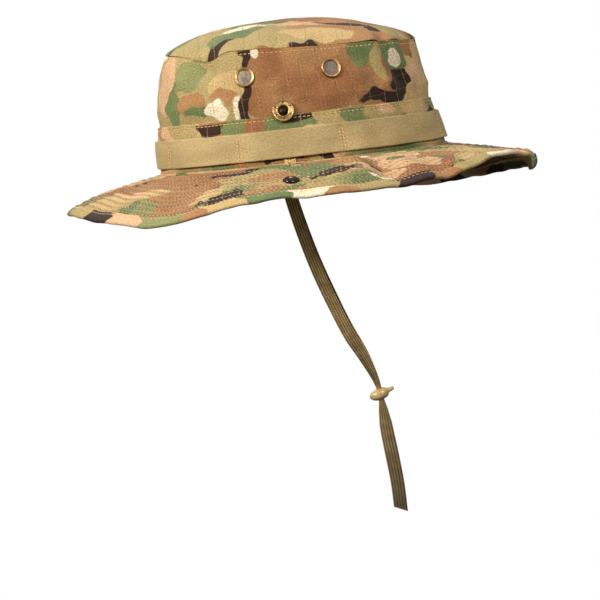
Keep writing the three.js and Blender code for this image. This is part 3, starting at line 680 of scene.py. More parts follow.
class Surf:
    """A surface sampled on a grid of (u, v), with unit normals, read by bilinear steps."""

    def __init__(self, us, vs, P, closed, sign=1.0):
        self.us, self.vs, self.P, self.closed = us, vs, P, closed
        if closed:
            E = np.concatenate([P[-2:-1], P, P[1:2]])  # P's last column repeats its first
            du = (E[2:] - E[:-2])
        else:
            du = np.gradient(P, axis=0)
        dv = np.gradient(P, axis=1)
        self.N = unit(np.cross(du, dv)) * sign
        self.dv = unit(dv)

    def at(self, u, v, h=0.0):
        u, v, h = np.broadcast_arrays(np.asarray(u, float), np.asarray(v, float), np.asarray(h, float))
        if self.closed:
            u = np.mod(u - self.us[0], self.us[-1] - self.us[0]) + self.us[0]
        x = (u - self.us[0]) / (self.us[1] - self.us[0])
        y = (v - self.vs[0]) / (self.vs[1] - self.vs[0])
        i = np.clip(np.floor(x).astype(int), 0, len(self.us) - 2)
        j = np.clip(np.floor(y).astype(int), 0, len(self.vs) - 2)
        fx, fy = (x - i)[..., None], (y - j)[..., None]
        lerp = lambda A: (A[i, j] * (1 - fx) + A[i + 1, j] * fx) * (1 - fy) + (A[i, j + 1] * (1 - fx) + A[i + 1, j + 1] * fx) * fy
        p, n = lerp(self.P), unit(lerp(self.N))
        return p + n * h[..., None], n


# ------------------------------------------------------------------ the crown's surfaces, as in the CAD model
A_FRONT, B_SIDE, T_FRONT, T_SIDE = 105.2, 87.0, 0.205, 0.18
SEAM_MID, SEAM_FALL, DOME = 79.9, 3.9, 20.5
BACK = np.array([[0, 105.2], [8, 105.7], [24, 105.2], [34, 104.1], [46, 101.9], [61, 98.9], [76, 95.2], [84, 91.1], [90, 87.5]], float)
_bz = np.linspace(-20, 110, 521)
_ba = np.interp(_bz, BACK[:, 0], BACK[:, 1])
_ba = np.where(_bz > 90, 87.5 - (_bz - 90) * 0.6, _ba)
_k = np.exp(-0.5 * (np.arange(-24, 25) * 0.25 / 2.4) ** 2)
_ba = np.convolve(np.pad(_ba, 24, mode="edge"), _k / _k.sum(), "valid")


def half_a(th, z):
    return np.where(np.cos(th) >= 0, A_FRONT - T_FRONT * z, np.interp(z, _bz, _ba))


def half_b(z):
    return B_SIDE - T_SIDE * z


def seam_z(th):
    return SEAM_MID - SEAM_FALL * np.cos(th)


def panel_off(z):
    return 2.9 + (0.5 - 2.9) * np.clip((z - 35.2) / 10, 0, 1)


def gauss(x, s):
    return np.exp(-0.5 * (x / s) ** 2)


def dents(P, out):
    """Soft folds of the crown: how far a point moves, mostly in and out along the wall's outward direction out."""
    x, y, z = P[..., 0], P[..., 1], P[..., 2]
    right = np.clip(-y / 25, 0, 1)
    left = np.clip(y / 25, 0, 1)
    d = np.zeros_like(x)
    dz = np.zeros_like(x)
    # the hollow under the top seam at the right rear, with the seam pulled down into it
    g = gauss(x + 64, 9.5) * gauss(z - 76.5, 9.0) * right
    d -= 6.2 * g
    dz -= 5.2 * gauss(x + 64, 9.0) * gauss(z - 79, 10.0) * right
    d += 2.4 * gauss(x + 84, 7.0) * gauss(z - 68, 13.0) * right
    d += 1.8 * gauss(x + 48, 8.0) * gauss(z - 70, 10.0) * right
    # the crease that runs down and forward from the seam at the right front
    line = (x - (64.0 + (76.0 - z) * 0.36))
    along = np.clip((z - 40) / 10, 0, 1) * np.clip((86 - z) / 8, 0, 1)
    d -= 4.2 * gauss(line, 3.4) * along * right
    d += 3.2 * gauss(line + 7.5, 4.5) * along * right
    d += 1.8 * gauss(line - 7.0, 4.0) * along * right
    # and others like them where they are not in view
    g = gauss(x + 55, 9.0) * gauss(z - 74, 11.0) * left
    d -= 2.6 * g
    line = (x - (58.0 + (76.0 - z) * 0.30))
    d -= 1.5 * gauss(line, 3.0) * along * left
    d += 1.0 * gauss(line + 6.0, 4.0) * along * left
    # small unevenness of limp cloth; the tape and its strip lie truer
    free = 0.35 + 0.65 * np.clip((z - 30) / 14, 0, 1)
    d += free * (1.5 * N1(P * (1, 1, 0.7), 26.0) + 0.75 * N2(P, 11.0) + 0.22 * N3(P, 5.0))
    dz += 0.5 * N3(P * (1, 1, 0.2), 24.0) * np.clip((z - 40) / 20, 0, 1)
    m = out * d[..., None]
    m[..., 2] += dz
    return m


def wall_grid(th, z):
    P = np.stack([half_a(th, z) * np.cos(th), -half_b(z) * np.sin(th), z + 0 * th], -1)
    out = np.stack([np.cos(th) / half_a(th, z), -np.sin(th) / half_b(z), 0 * th + 0 * z], -1)
    out = unit(out)
    out[..., 2] = 0.15
    return P + dents(P, unit(out))


TH = np.linspace(0, 2 * np.pi, 721)
ZS = np.linspace(-4, 92, 193)
WALL = Surf(TH, ZS, wall_grid(*np.meshgrid(TH, ZS, indexing="ij")), True, sign=-1.0)
if WALL.N[180, 60] @ np.array([0, -1, 0]) < 0:
    WALL.N *= -1

RS = np.linspace(0.0, 1.0, 161)


def dome_grid(th, r):
    off = 0.6
    z = seam_z(th)
    zz = SEAM_MID - SEAM_FALL * r * np.cos(th) + 0.45 + DOME * np.maximum(0, 1 - r * r) ** 0.75 + 0.81
    P = np.stack([(half_a(th, z) - off) * r * np.cos(th), -(half_b(z) - off) * r * np.sin(th), zz], -1)
    out = np.stack([np.cos(th), -np.sin(th), 0.35 + 0 * th], -1)
    e = np.clip((r - 0.5) / 0.5, 0, 1)[..., None]
    D = dents(P, unit(out)) * (e * e)
    D[..., 2] += (1 - e[..., 0]) * (1.6 * N1(P, 30.0) + 0.5 * N2(P, 12.0))
    return P + D


DOME_S = Surf(TH, RS, dome_grid(*np.meshgrid(TH, RS, indexing="ij")), True)
if DOME_S.N[0, 60, 2] < 0:
    DOME_S.N *= -1
DOME_S.N[:, 0] = (0, 0, 1)

# arc length round the wall's foot, for the cloth's own coordinates: 0 at the side's middle, positive to the front
_p = np.stack([half_a(TH, 30 * np.ones_like(TH)) * np.cos(TH), -half_b(30.0) * np.sin(TH)], -1)
_arc = np.concatenate([[0], np.cumsum(np.linalg.norm(np.diff(_p, axis=0), axis=1))])
PERIM = _arc[-1]


def arc_of(th):
    return np.interp(np.mod(th, 2 * np.pi), TH, _arc)


ARC_SIDE = float(np.interp(np.pi / 2, TH, _arc))


def th_of(side, x, z):
    """The wall's angle at x, on the right (-1) or the left (+1)."""
    c = math.acos(max(-1, min(1, x / float(half_a(np.array(0.0 if x >= 0 else math.pi), np.array(z))))))
    return c if side < 0 else 2 * math.pi - c


# ------------------------------------------------------------------ the brim's surface
DROOP = np.array([[0, 16], [12, 16], [20, 14], [26, 10], [33, 8], [40, 8], [48, 13], [56, 17.8], [64, 19.6], [75, 18.6], [85, 17.2], [95, 17.8], [105, 20.4], [117, 25], [132, 28.6], [150, 22.2], [165, 17.2], [180, 15.8], [195, 17.6], [210, 21.5], [230, 26], [250, 25], [270, 25], [290, 28], [305, 30], [314, 28], [323, 24.5], [332, 21], [340, 18], [350, 16], [360, 16]], float)
CURL = np.array([[0, 104], [12, 100], [19, 62], [26, 8], [33, 0], [60, 0], [120, 0], [150, 8], [180, 16], [210, 8], [240, 0], [300, 8], [320, 30], [332, 60], [342, 92], [352, 104], [360, 104]], float)
BRIM_ARC, BRIM_IN = 72.0, 3.9
TOTAL = BRIM_ARC + BRIM_IN
IN_A, IN_B = 105.2 - BRIM_IN, 87.0 - BRIM_IN
BIND = 9.6  # the binding's width on top
STUD_ARC = 41.6
ROWS = [BRIM_IN + 5.6 + 6.05 * k for k in range(10)]  # quilting, along the cloth


def ring_tab(T, deg):
    d = np.mod(deg, 360)
    i = np.clip(np.searchsorted(T[:, 0], d, side="right") - 1, 0, len(T) - 2)
    t = (d - T[i, 0]) / (T[i + 1, 0] - T[i, 0])
    return T[i, 1] + (T[i + 1, 1] - T[i, 1]) * (1 - np.cos(np.pi * t)) / 2


def sstep(a, b, x):
    t = np.clip((x - a) / (b - a), 0, 1)
    return t * t * (3 - 2 * t)


SB = np.arange(0, 79.01, 0.25)


def brim_grid(th, s):
    """th (n, 1), s (m,): the upper face of the brim."""
    deg = np.degrees(th)
    lean = np.arcsin(ring_tab(DROOP, deg) / BRIM_ARC)
    curl = np.radians(ring_tab(CURL, deg))
    mid = (s[:-1] + s[1:]) / 2

    def slope(x):
        u = np.maximum(0, (x - BRIM_IN) / BRIM_ARC)
        u2 = np.minimum(u, 1.0)
        return sstep(0, BRIM_IN + 3, x) * lean * (0.78 + 0.44 * u2) + curl * sstep(0.74, 1.06, u2) ** 1.15 * 1.25

    a = slope(mid[None, :])
    ds = np.diff(s)[None, :]
    r = np.concatenate([np.zeros_like(th), np.cumsum(np.cos(a) * ds, 1)], 1)
    z = np.concatenate([np.zeros_like(th), np.cumsum(-np.sin(a) * ds, 1)], 1) - 0.6
    nx, ny = np.cos(th) / IN_A, -np.sin(th) / IN_B
    l = np.hypot(nx, ny)
    return np.stack([IN_A * np.cos(th) + nx / l * r, -IN_B * np.sin(th) + ny / l * r, z], -1)


TB = np.linspace(0, 2 * np.pi, 1081)
_bp = brim_grid(TB[:, None], SB)


def brim_folds(P, th, s):
    """Unevenness of the soft brim, across its own surface."""
    x, y = P[..., 0], P[..., 1]
    w = sstep(6, 22, s - BRIM_IN)
    d = w * (1.3 * N1(P * (1, 1, 0.3), 34.0) + 0.75 * N2(P, 13.0) + 0.25 * N3(P, 6.0))
    right = np.clip(-y / 25, 0, 1)
    # a bulge round the stud and a trough in front of it that runs out to the edge
    t = (x - (32.0 + (s - 20) * 0.34))
    d += 4.6 * gauss(x - 33, 11) * sstep(3, 16, s - BRIM_IN) * (1 - sstep(44, 68, s)) * right
    d -= 4.6 * gauss(t - 15, 6.5) * sstep(4, 18, s - BRIM_IN) * (1 - 0.7 * sstep(50, 72, s)) * right
    d += 2.2 * gauss(t - 30, 8) * sstep(8, 24, s - BRIM_IN) * right
    d += 1.4 * gauss(x + 62, 12) * sstep(8, 24, s - BRIM_IN) * right - 1.2 * gauss(x + 92, 11) * sstep(8, 24, s - BRIM_IN) * right
    return d


_bn = Surf(TB, SB, _bp, True)
if _bn.N[270, 100, 2] < 0:
    _bn.N *= -1
_tt, _ss = np.meshgrid(TB, SB, indexing="ij")
_bp = _bp + _bn.N * brim_folds(_bp, _tt, _ss)[..., None]
BRIM = Surf(TB, SB, _bp, True)
if BRIM.N[270, 100, 2] < 0:
    BRIM.N *= -1
THICK = 2.1


def quilt(s, u):
    """How far the cloth puffs between its stitch rows; u is the place along the row, in mm."""
    d = np.full_like(s, 9.0)
    for r in ROWS:
        d = np.minimum(d, np.abs(s - r))
    last = ROWS[-1] + 1.5
    puff = 0.80 * (1 - gauss(d, 1.25)) * (1 - sstep(last - 2, last + 1.5, s)) * sstep(2, 6, s)
    pull = 0.24 * np.cos(2 * np.pi * u / 3.3 + 1.9 * np.floor(s / 6.05)) * gauss(d, 1.7)
    return puff + pull


HALVES = (("right", -1, 0.0, np.pi), ("left", 1, np.pi, 2 * np.pi))


def bend_with(o):
    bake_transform(o)


def cloth_uv(P, shift=(0, 0)):
    return (P[..., :2] + np.array(shift)) * MM


def flat_uv(th, s, shift=(0, 0)):
    """The cut cloth's own coordinates for the brim: the inner edge's place plus the distance along the cloth."""
    nx, ny = np.cos(th) / IN_A, -np.sin(th) / IN_B
    l = np.hypot(nx, ny)
    return np.stack([IN_A * np.cos(th) + nx / l * s + shift[0], -IN_B * np.sin(th) + ny / l * s + shift[1]], -1) * MM


for name, side, t0, t1 in HALVES:
    nt = 401
    t = np.linspace(t0, t1, nt)
    s = np.arange(0.6, TOTAL + 0.4, 0.75)
    T, S = np.meshgrid(t, s, indexing="ij")
    base, _ = BRIM.at(T, S)
    along = np.concatenate([np.zeros((1, len(s))), np.cumsum(np.linalg.norm(np.diff(base, axis=0), axis=2), 0)])
    top, _ = BRIM.at(T, S, quilt(S, along))
    low, _ = BRIM.at(T, S, -THICK - quilt(S, along + 1.4))
    o = shell(name + "_brim_cloth", top, low, flat_uv(T, S), flat_uv(T, S, (640, 210)), M["brim"], flip=True)
    o.data.materials.append(M["under"])
    nq = (nt - 1) * (len(s) - 1)
    idx = np.zeros(len(o.data.polygons), np.int32)
    idx[nq : 2 * nq] = 1
    o.data.polygons.foreach_set("material_index", idx)
    bend_with(o)
    lay = o.data.uv_layers.new(name="rows")
    vi = np.zeros(len(o.data.loops), np.int32)
    o.data.loops.foreach_get("vertex_index", vi)
    rows_uv = np.stack([along, S], -1).reshape(-1, 2) * MM
    lay.data.foreach_set("uv", np.concatenate([rows_uv, rows_uv])[vi].astype(np.float32).ravel())
    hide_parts(name + "_brim_upper_ply", name + "_brim_lower_ply")
    if name == "right":
        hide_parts("brim_upper_ply", "brim_lower_ply")

    # the edge binding, folded over both faces
    s0 = TOTAL - BIND
    nb = 361
    tb = np.linspace(t0, t1, nb)
    outer = [(s0 + 0.02, 0.05), (s0 - 0.05, 0.42), (s0 + 0.15, 0.78), (s0 + 0.7, 0.92), (s0 + 1.4, 0.80), (s0 + 2.1, 0.50), (s0 + 2.5, 0.44), (s0 + 2.9, 0.46), (s0 + 3.7, 0.60), (s0 + 5.2, 0.64), (s0 + 7.0, 0.58), (s0 + 8.2, 0.44)]
    mid_h, R = -THICK / 2, THICK / 2 + 0.42
    for a in np.radians([68, 45, 22, 0, -22, -45, -68]):
        outer.append((TOTAL - 0.55 + 1.55 * math.cos(a), mid_h + R * math.sin(a)))
    outer += [(s, -THICK - h) for s, h in outer[:12][::-1]]
    inner = [(s0 + 0.5, -THICK - 0.05), (s0 + 4, -THICK - 0.04), (TOTAL - 0.9, -THICK + 0.1), (TOTAL + 0.2, mid_h), (TOTAL - 0.9, -0.1), (s0 + 4, 0.04), (s0 + 0.5, 0.05)]
    prof = outer + inner
    K = len(prof)
    TT = np.repeat(tb[:, None], K, 1)
    SS = np.repeat(np.array([p[0] for p in prof])[None], nb, 0)
    HH = np.repeat(np.array([p[1] for p in prof])[None], nb, 0).copy()
    edge, _ = BRIM.at(tb, TOTAL)
    ua = np.concatenate([[0], np.cumsum(np.linalg.norm(np.diff(edge, axis=0), axis=1))])
    # the fold wanders a little, and the cloth is pulled in at each stitch
    wob = 0.32 * N2(edge * (1, 1, 0.1), 17.0) + 0.12 * N3(edge, 5.0)
    rise = 0.14 * N1(edge, 9.0) + 0.07 * np.cos(2 * np.pi * ua / 3.3)
    no = len(outer)
    SS[:, :6] += wob[:, None]
    SS[:, no - 6 : no] += wob[:, None] * 0.8
    HH[:, 1:11] += (rise[:, None] * np.array([0.5, 1, 1, 0.8, 0.4, 0.3, 0.4, 1, 1, 0.6])[None])
    B, _ = BRIM.at(TT, SS, HH)
    cross = np.concatenate([[0], np.cumsum(np.hypot(np.diff([p[0] for p in prof]), np.diff([p[1] for p in prof])))])
    cross = np.append(cross, cross[-1])
    uvb = np.stack(np.broadcast_arrays((ua[:, None] + (0 if side < 0 else 700)), cross[None, :]), -1) * MM
    o = loop_sweep(name + "_edge_binding", B, M["bind_" + name], uvb, False, flip=False)
    bend_with(o)
    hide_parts(name + "_brim_binding")
    if name == "right":
        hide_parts("brim_binding_front", "brim_binding_back")


# ------------------------------------------------------------------ stitching
def stitches(name, lines, mat, pitch=3.3, length=2.5, width=0.62, height=0.42, sink=0.05, seed=0):
    """One mesh of thread stitches along lines, each a (points, normals) pair in mm. Each stitch rises out of the cloth and dives back in."""
    rng = np.random.default_rng(seed)
    verts, faces = [], []
    ring = np.arange(6) * np.pi / 3
    prof = [(0.0, 0.30, -0.55), (0.16, 0.86, 0.25), (0.5, 1.0, 0.55), (0.84, 0.86, 0.25), (1.0, 0.30, -0.55)]
    base = 0
    for P, Nn in lines:
        d = np.concatenate([[0], np.cumsum(np.linalg.norm(np.diff(P, axis=0), axis=1))])
        k = int((d[-1] - length) / pitch)
        if k < 1:
            continue
        st = np.arange(k) * pitch + rng.uniform(-0.12, 0.12, k) + 0.3
        ln = length * rng.uniform(0.92, 1.08, k)
        rows = []
        for f, w, h in prof:
            q = st + ln * f
            c = np.stack([np.interp(q, d, P[:, i]) for i in range(3)], -1)
            n = unit(np.stack([np.interp(q, d, Nn[:, i]) for i in range(3)], -1))
            c2 = np.stack([np.interp(q + 0.3, d, P[:, i]) for i in range(3)], -1)
            c1 = np.stack([np.interp(q - 0.3, d, P[:, i]) for i in range(3)], -1)
            t = unit(c2 - c1 + 1e-9)
            b = unit(np.cross(t, n))
            c = c + n * (h * height - sink)
            rows.append(c[:, None, :] + b[:, None, :] * (np.cos(ring) * width / 2 * w)[None, :, None] + n[:, None, :] * (np.sin(ring) * height / 2 * w)[None, :, None])
        V = np.stack(rows, 1)  # k, 5, 6, 3
        verts.append(V.reshape(-1, 3))
        one = []
        for i in range(4):
            for j in range(6):
                j2 = (j + 1) % 6
                one.append((i * 6 + j, (i + 1) * 6 + j, (i + 1) * 6 + j2, i * 6 + j2))
        one = np.array(one)
        allf = (one[None] + (np.arange(k) * 30)[:, None, None] + base).reshape(-1, 4)
        faces += allf.tolist()
        cap = (np.arange(k) * 30 + base)[:, None]
        faces += (cap + np.arange(6)[None]).tolist()
        faces += (cap + 24 + np.arange(6)[::-1][None]).tolist()
        base += k * 30
    return make(name, np.concatenate(verts), faces, mat)


for name, side, t0, t1 in HALVES:
    top, low = [], []
    t = np.linspace(t0 + 0.004, t1 - 0.004, 700)
    for i, r in enumerate(ROWS):
        top.append(BRIM.at(t, np.full_like(t, r), 0.02))
        p, n = BRIM.at(t, np.full_like(t, r), -THICK - 0.02)
        low.append((p, -n))
    o = stitches(name + "_brim_quilting", top + low, M["thread"], pitch=3.3, length=2.35, width=0.58, height=0.36, seed=4)
    bend_with(o)
    s = TOTAL - BIND + 2.5
    p, n = BRIM.at(t, np.full_like(t, s), 0.46)
    p2, n2 = BRIM.at(t, np.full_like(t, s), -THICK - 0.46)
    o = stitches(name + "_binding_stitches", [(p, n), (p2, -n2)], M["thread"], pitch=3.3, length=2.5, width=0.66, height=0.42, seed=5)
    bend_with(o)


# ------------------------------------------------------------------ the crown
def wall_line(th, z, h):
    return WALL.at(th, z, h)


crown_lines, crown_pale = [], []
for name, side, t0, t1 in HALVES:
    nt = 421
    t = np.linspace(t0, t1, nt)
    rows = np.concatenate([np.linspace(-0.4, 1, 100)[:1] * 0, []])
    f = np.linspace(0, 1, 96)
    T = np.repeat(t[:, None], len(f) + 3, 1)
    zt = seam_z(t)[:, None] + 0.35
    Z = -0.2 + (zt + 0.2) * f[None, :]
    Z = np.concatenate([Z, Z[:, -1:] + 0.55, Z[:, -1:] + 0.8, Z[:, -1:] + 0.75], 1)
    H = -panel_off(Z)
    H[:, -3:] -= np.array([0.15, 0.6, 1.3])[None]
    # pulled in a little along the top seam's stitching
    below = zt - Z
    along = arc_of(t)[:, None]
    H -= 0.28 * gauss(below - 1.9, 0.8)
    H += 0.08 * np.cos(2 * np.pi * along / 3.3) * gauss(below - 2.0, 2.0)
    P, _ = WALL.at(T, Z, H)
    Q, _ = WALL.at(T, Z, H - 0.9)
    U = (arc_of(T) - ARC_SIDE) if side < 0 else (arc_of(T) - (PERIM - ARC_SIDE))
    if side < 0:
        U = -U
    uv = np.stack([U, Z], -1) * MM
    o = shell(name + "_crown_side", P, Q, uv, uv, M[name], flip=False)
    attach(o, "crown")
    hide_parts(name + "_side_panel")

# top panel
nt, nr = 480, 100
t = np.linspace(0, 2 * np.pi, nt + 1)[:-1]
r = 1 - (1 - np.linspace(0, 1, nr)) ** 1.35
r[0] = 0.004
T, R = np.meshgrid(t, r, indexing="ij")
P, n = DOME_S.at(T, R)
Q, _ = DOME_S.at(T, R, -0.9)
edge = P[:, -1:] + np.array([0, 0, -0.42]) - unit(P[:, -1:] * (1, 1, 0)) * 0.35
edge2 = P[:, -1:] + np.array([0, 0, -0.62]) - unit(P[:, -1:] * (1, 1, 0)) * 1.1
P2 = np.concatenate([P, edge, edge2], 1)
Qe = Q[:, -1:] - unit(Q[:, -1:] * (1, 1, 0)) * 0.8 + np.array([0, 0, 0.1])
Q2 = np.concatenate([Q, Qe, Qe + (edge2 - edge) * 0.4], 1)


def dome_uv(P):
    e = np.concatenate([P, P[:1]])
    s = 1.08
    return np.stack([e[..., 0] * s, e[..., 1] * s], -1) * MM


o = shell("crown_dome", P2, Q2, dome_uv(P2), dome_uv(P2), M["dome"], closed_u=True, flip=True)
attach(o, "crown")
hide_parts("crown_top")
# close the middle of the dome
c, _ = DOME_S.at(t[::20], 0.004 * np.ones(24))
cap = make("crown_dome_centre", np.concatenate([c + (0, 0, 0.02), c - (0, 0, 0.9)]), [list(range(24)), [24 + i for i in range(23, -1, -1)]] + [[i, 24 + i, 24 + (i + 1) % 24, (i + 1) % 24] for i in range(24)], M["dome"], np.concatenate([c[:, :2], c[::-1, :2], np.repeat(c[:, None, :2], 4, 1).reshape(-1, 2)]) * MM)
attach(cap, "crown")

th = np.linspace(0, 2 * np.pi, 1400)
zt = seam_z(th) + 0.35
crown_lines.append(WALL.at(th, zt - 1.9, -0.72))

# base strip, with its folded top edge
prof = [(-0.3, -1.75), (4.0, -1.70), (9.0, -1.70), (14.0, -1.7), (20.0, -1.7), (26.0, -1.70), (29.0, -1.62), (30.6, -1.66), (31.6, -1.86), (32.1, -1.90), (32.6, -1.84), (33.4, -1.58), (34.1, -1.55), (34.5, -1.8), (34.6, -2.3), (34.2, -2.62), (30.0, -2.65), (16.0, -2.65), (4.0, -2.65), (-0.3, -2.65)]


def band(name, prof, mat, u_shift=0.0, n=540, tweak=None, mirror=False):
    t = np.linspace(0, 2 * np.pi, n + 1)[:-1]
    K = len(prof)
    T = np.repeat(t[:, None], K, 1)
    Z = np.repeat(np.array([p[0] for p in prof], float)[None], n, 0)
    H = np.repeat(np.array([p[1] for p in prof], float)[None], n, 0)
    if tweak is not None:
        Z, H = tweak(T, Z, H)
    P, _ = WALL.at(T, Z, H)
    cross = np.concatenate([[0], np.cumsum(np.hypot(np.diff([p[0] for p in prof]), np.diff([p[1] for p in prof])))])
    cross = np.append(cross, cross[-1] + 0.5)
    te = np.append(t, 2 * np.pi)
    ua = np.append(arc_of(t), PERIM) + u_shift
    uv = np.stack(np.broadcast_arrays(ua[:, None], cross[None, :]), -1) * MM
    return loop_sweep(name, P, mat, uv, True, flip=False)


def strip_tweak(T, Z, H):
    a = arc_of(T)
    e = gauss(Z - 34.2, 1.6)
    Z = Z + 0.25 * N2(np.stack([np.cos(T) * 90, np.sin(T) * 80, Z * 0], -1), 14.0) * e
    H = H + 0.10 * np.cos(2 * np.pi * a / 3.3) * gauss(Z - 33, 1.5) * (H > -2.2)
    return Z, H


o = band("crown_strip", prof, M["strip"], tweak=strip_tweak)
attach(o, "crown")
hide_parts("crown_base_strip")
crown_lines.append(WALL.at(th, 32.15 + 0 * th, -1.84))

# fold of cloth where the crown meets the brim
fold = [(0.55 + 0.85 * math.sin(a), -1.1 + 0.95 * math.cos(a)) for a in np.linspace(0, 2 * np.pi, 13)[:-1]]
fold = [(z - 0.35, h - 0.1) for z, h in fold]


def fold_tweak(T, Z, H):
    q = np.stack([np.cos(T) * 100, np.sin(T) * 85, 0 * Z], -1)
    return Z + 0.22 * N2(q, 12.0), H + 0.30 * N3(q, 15.0)


o = band("seam_fold", fold, M["strip"], u_shift=130.0, tweak=fold_tweak)
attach(o, "crown")

# foliage tape: pinned by rows of stitches, a little slack between them
LOOPS = []
a0 = ARC_SIDE
for px in (-95.0, -44.5, 28.0, 82.0):
    th_r = th_of(-1, px, 15.0)
    LOOPS.append(float(arc_of(np.array(th_r))))
step = 65.0
lo, hi = min(LOOPS), max(LOOPS)
more = []
x = hi + 42
while x < lo + PERIM - 30:
    more.append(x % PERIM)
    x += 61.0
LOOPS = sorted(set([round(v, 2) for v in LOOPS + more]))


def tape_tweak(T, Z, H):
    a = arc_of(T)
    L = np.array(LOOPS)
    d = np.abs(a[..., None] - L)
    d = np.minimum(d, PERIM - d).min(-1)
    slack = sstep(0.5, 16, d)
    outer = H > -0.9
    q = np.stack([np.cos(T) * 100, np.sin(T) * 85, Z * 0.6], -1)
    H = H + np.where(outer, 1.35 * slack * (1 - 0.25 * ((Z - 14.5) / 10) ** 2) - 0.3 * gauss(d, 1.2), 1.2 * slack)
    H = H + 0.45 * N2(q, 17.0) * slack
    Z = Z + 0.22 * N3(q * (1, 1, 0), 22.0)
    return Z, H


tape = [(4.5, -0.75), (4.62, -0.30), (5.1, -0.12), (6.0, -0.22), (8.0, -0.25), (11.0, -0.25), (14.5, -0.25), (18.0, -0.25), (21.0, -0.25), (23.0, -0.22), (23.9, -0.12), (24.38, -0.30), (24.5, -0.75), (24.3, -1.25), (20.0, -1.35), (14.5, -1.35), (9.0, -1.35), (4.7, -1.25)]
o = band("foliage_band", tape, M["tape"], n=900, tweak=tape_tweak)
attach(o, "crown")
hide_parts("foliage_tape")
for a in LOOPS:
    for da, zz in ((-1.1, (5.0, 24.0)), (1.1, (5.4, 23.6))):
        th_l = float(np.interp((a + da) % PERIM, _arc, TH))
        z = np.linspace(zz[0], zz[1], 40)
        p, n = WALL.at(th_l, z, -0.36)
        crown_pale.append((p, n))

o = stitches("crown_stitching", crown_lines, M["thread"], pitch=3.2, length=2.45, width=0.68, height=0.46, seed=6)
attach(o, "crown")
o = stitches("tape_stitching", crown_pale, M["thread"], pitch=2.3, length=2.0, width=0.85, height=0.55, seed=7)
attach(o, "crown")

# sweatband inside, and the tape over the top seam
prof = [(-0.9, -5.0), (-1.1, -4.6), (-0.6, -4.3), (1.5, -4.35), (8, -4.35), (16, -4.35), (24, -4.35), (29.2, -4.35), (29.6, -4.8), (29.2, -5.35), (24, -5.5), (16, -5.55), (8, -5.5), (2.0, -5.4), (0.0, -5.35)]
o = band("sweat_band", prof, M["band"], n=480)
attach(o, "crown")
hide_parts("sweatband")
n_t = 480
t = np.linspace(0, 2 * np.pi, n_t + 1)[:-1]
v = np.linspace(8.0, 1.6, 8)
T, V = np.meshgrid(t, v, indexing="ij")
Zt = seam_z(T) - V
P, _ = WALL.at(T, Zt, -0.5 - 1.4)
Q, _ = WALL.at(T, Zt, -0.5 - 1.95)
te = np.append(arc_of(t), PERIM)
uv = np.stack(np.broadcast_arrays(te[:, None], v[None, :]), -1) * MM
o = shell("seam_tape", P, Q, uv, uv, M["lining"], closed_u=True, flip=False)
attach(o, "crown")
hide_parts("top_seam_tape")
inner = []
for z, h in ((2.2, -5.44), (28.2, -5.42)):
    p, n = WALL.at(th, z + 0 * th, h)
    inner.append((p, -n))
for vv in (7.2, 2.4):
    p, n = WALL.at(th, seam_z(th) - vv, -2.47)
    inner.append((p, -n))
o = stitches("inside_stitching", inner, M["thread"], pitch=3.2, length=2.45, width=0.6, height=0.4, seed=8)
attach(o, "crown")


# ------------------------------------------------------------------ metal fittings
def frame_at(p, n, up=(0, 0, 1)):
    """A matrix whose +Z is n, with its +Y as near up as it can be."""
    n = Vector(n).normalized()
    x = Vector(up).cross(n)
    if x.length < 1e-6:
        x = Vector((1, 0, 0))
    x.normalize()
    y = n.cross(x)
    m = Matrix((x, y, n)).transposed().to_4x4()
    m.translation = Vector(p)
    return np.array(m)


def put(V, m):
    V = np.asarray(V, float).reshape(-1, 3)
    return V @ m[:3, :3].T + m[:3, 3]


def lathe(name, prof, seg, m, mat, closed=True):
    """prof is (r, z) in mm, outward faces; closed outlines have no point on the axis."""
    prof = np.array(prof, float)
    k = len(prof)
    a = np.arange(seg) * 2 * np.pi / seg
    V = np.stack([prof[None, :, 0] * np.cos(a)[:, None], prof[None, :, 0] * np.sin(a)[:, None], np.repeat(prof[None, :, 1], seg, 0)], -1)
    faces = []
    kk = k if closed else k - 1
    for i in range(seg):
        i2 = (i + 1) % seg
        for j in range(kk):
            j2 = (j + 1) % k
            faces.append((i * k + j, i2 * k + j, i2 * k + j2, i * k + j2))
    V = V.reshape(-1, 3)
    if not closed:
        faces.append([i * k for i in range(seg)][::-1])
        faces.append([i * k + k - 1 for i in range(seg)])
    # turn the faces outwards if the outline runs the other way
    o = make(name, put(V, m), faces, mat)
    import bmesh

    bm = bmesh.new()
    bm.from_mesh(o.data)
    bmesh.ops.recalc_face_normals(bm, faces=bm.faces)
    bm.to_mesh(o.data)
    bm.free()
    return o


def tubes(name, paths, radius, mat, sides=6):
    """Round wires along lists of points, as one mesh."""
    V, F, base = [], [], 0
    for pts in paths:
        pts = np.asarray(pts, float)
        t = unit(np.gradient(pts, axis=0))
        ref = np.array([0, 0, 1.0]) if abs(t[0, 2]) < 0.8 else np.array([1.0, 0, 0])
        b = unit(np.cross(t, ref))
        n = np.cross(b, t)
        a = np.arange(sides) * 2 * np.pi / sides
        ring = pts[:, None] + radius * (np.cos(a)[None, :, None] * b[:, None] + np.sin(a)[None, :, None] * n[:, None])
        V.append(ring.reshape(-1, 3))
        for i in range(len(pts) - 1):
            for j in range(sides):
                j2 = (j + 1) % sides
                F.append((base + i * sides + j, base + i * sides + j2, base + (i + 1) * sides + j2, base + (i + 1) * sides + j))
        F.append([base + j for j in range(sides)][::-1])
        F.append([base + (len(pts) - 1) * sides + j for j in range(sides)])
        base += len(pts) * sides
    return make(name, np.concatenate(V), F, mat)


def arc(cx, cz, r, a0, a1, n):
    return [(cx + r * math.cos(a), cz + r * math.sin(a)) for a in np.radians(np.linspace(a0, a1, n))]


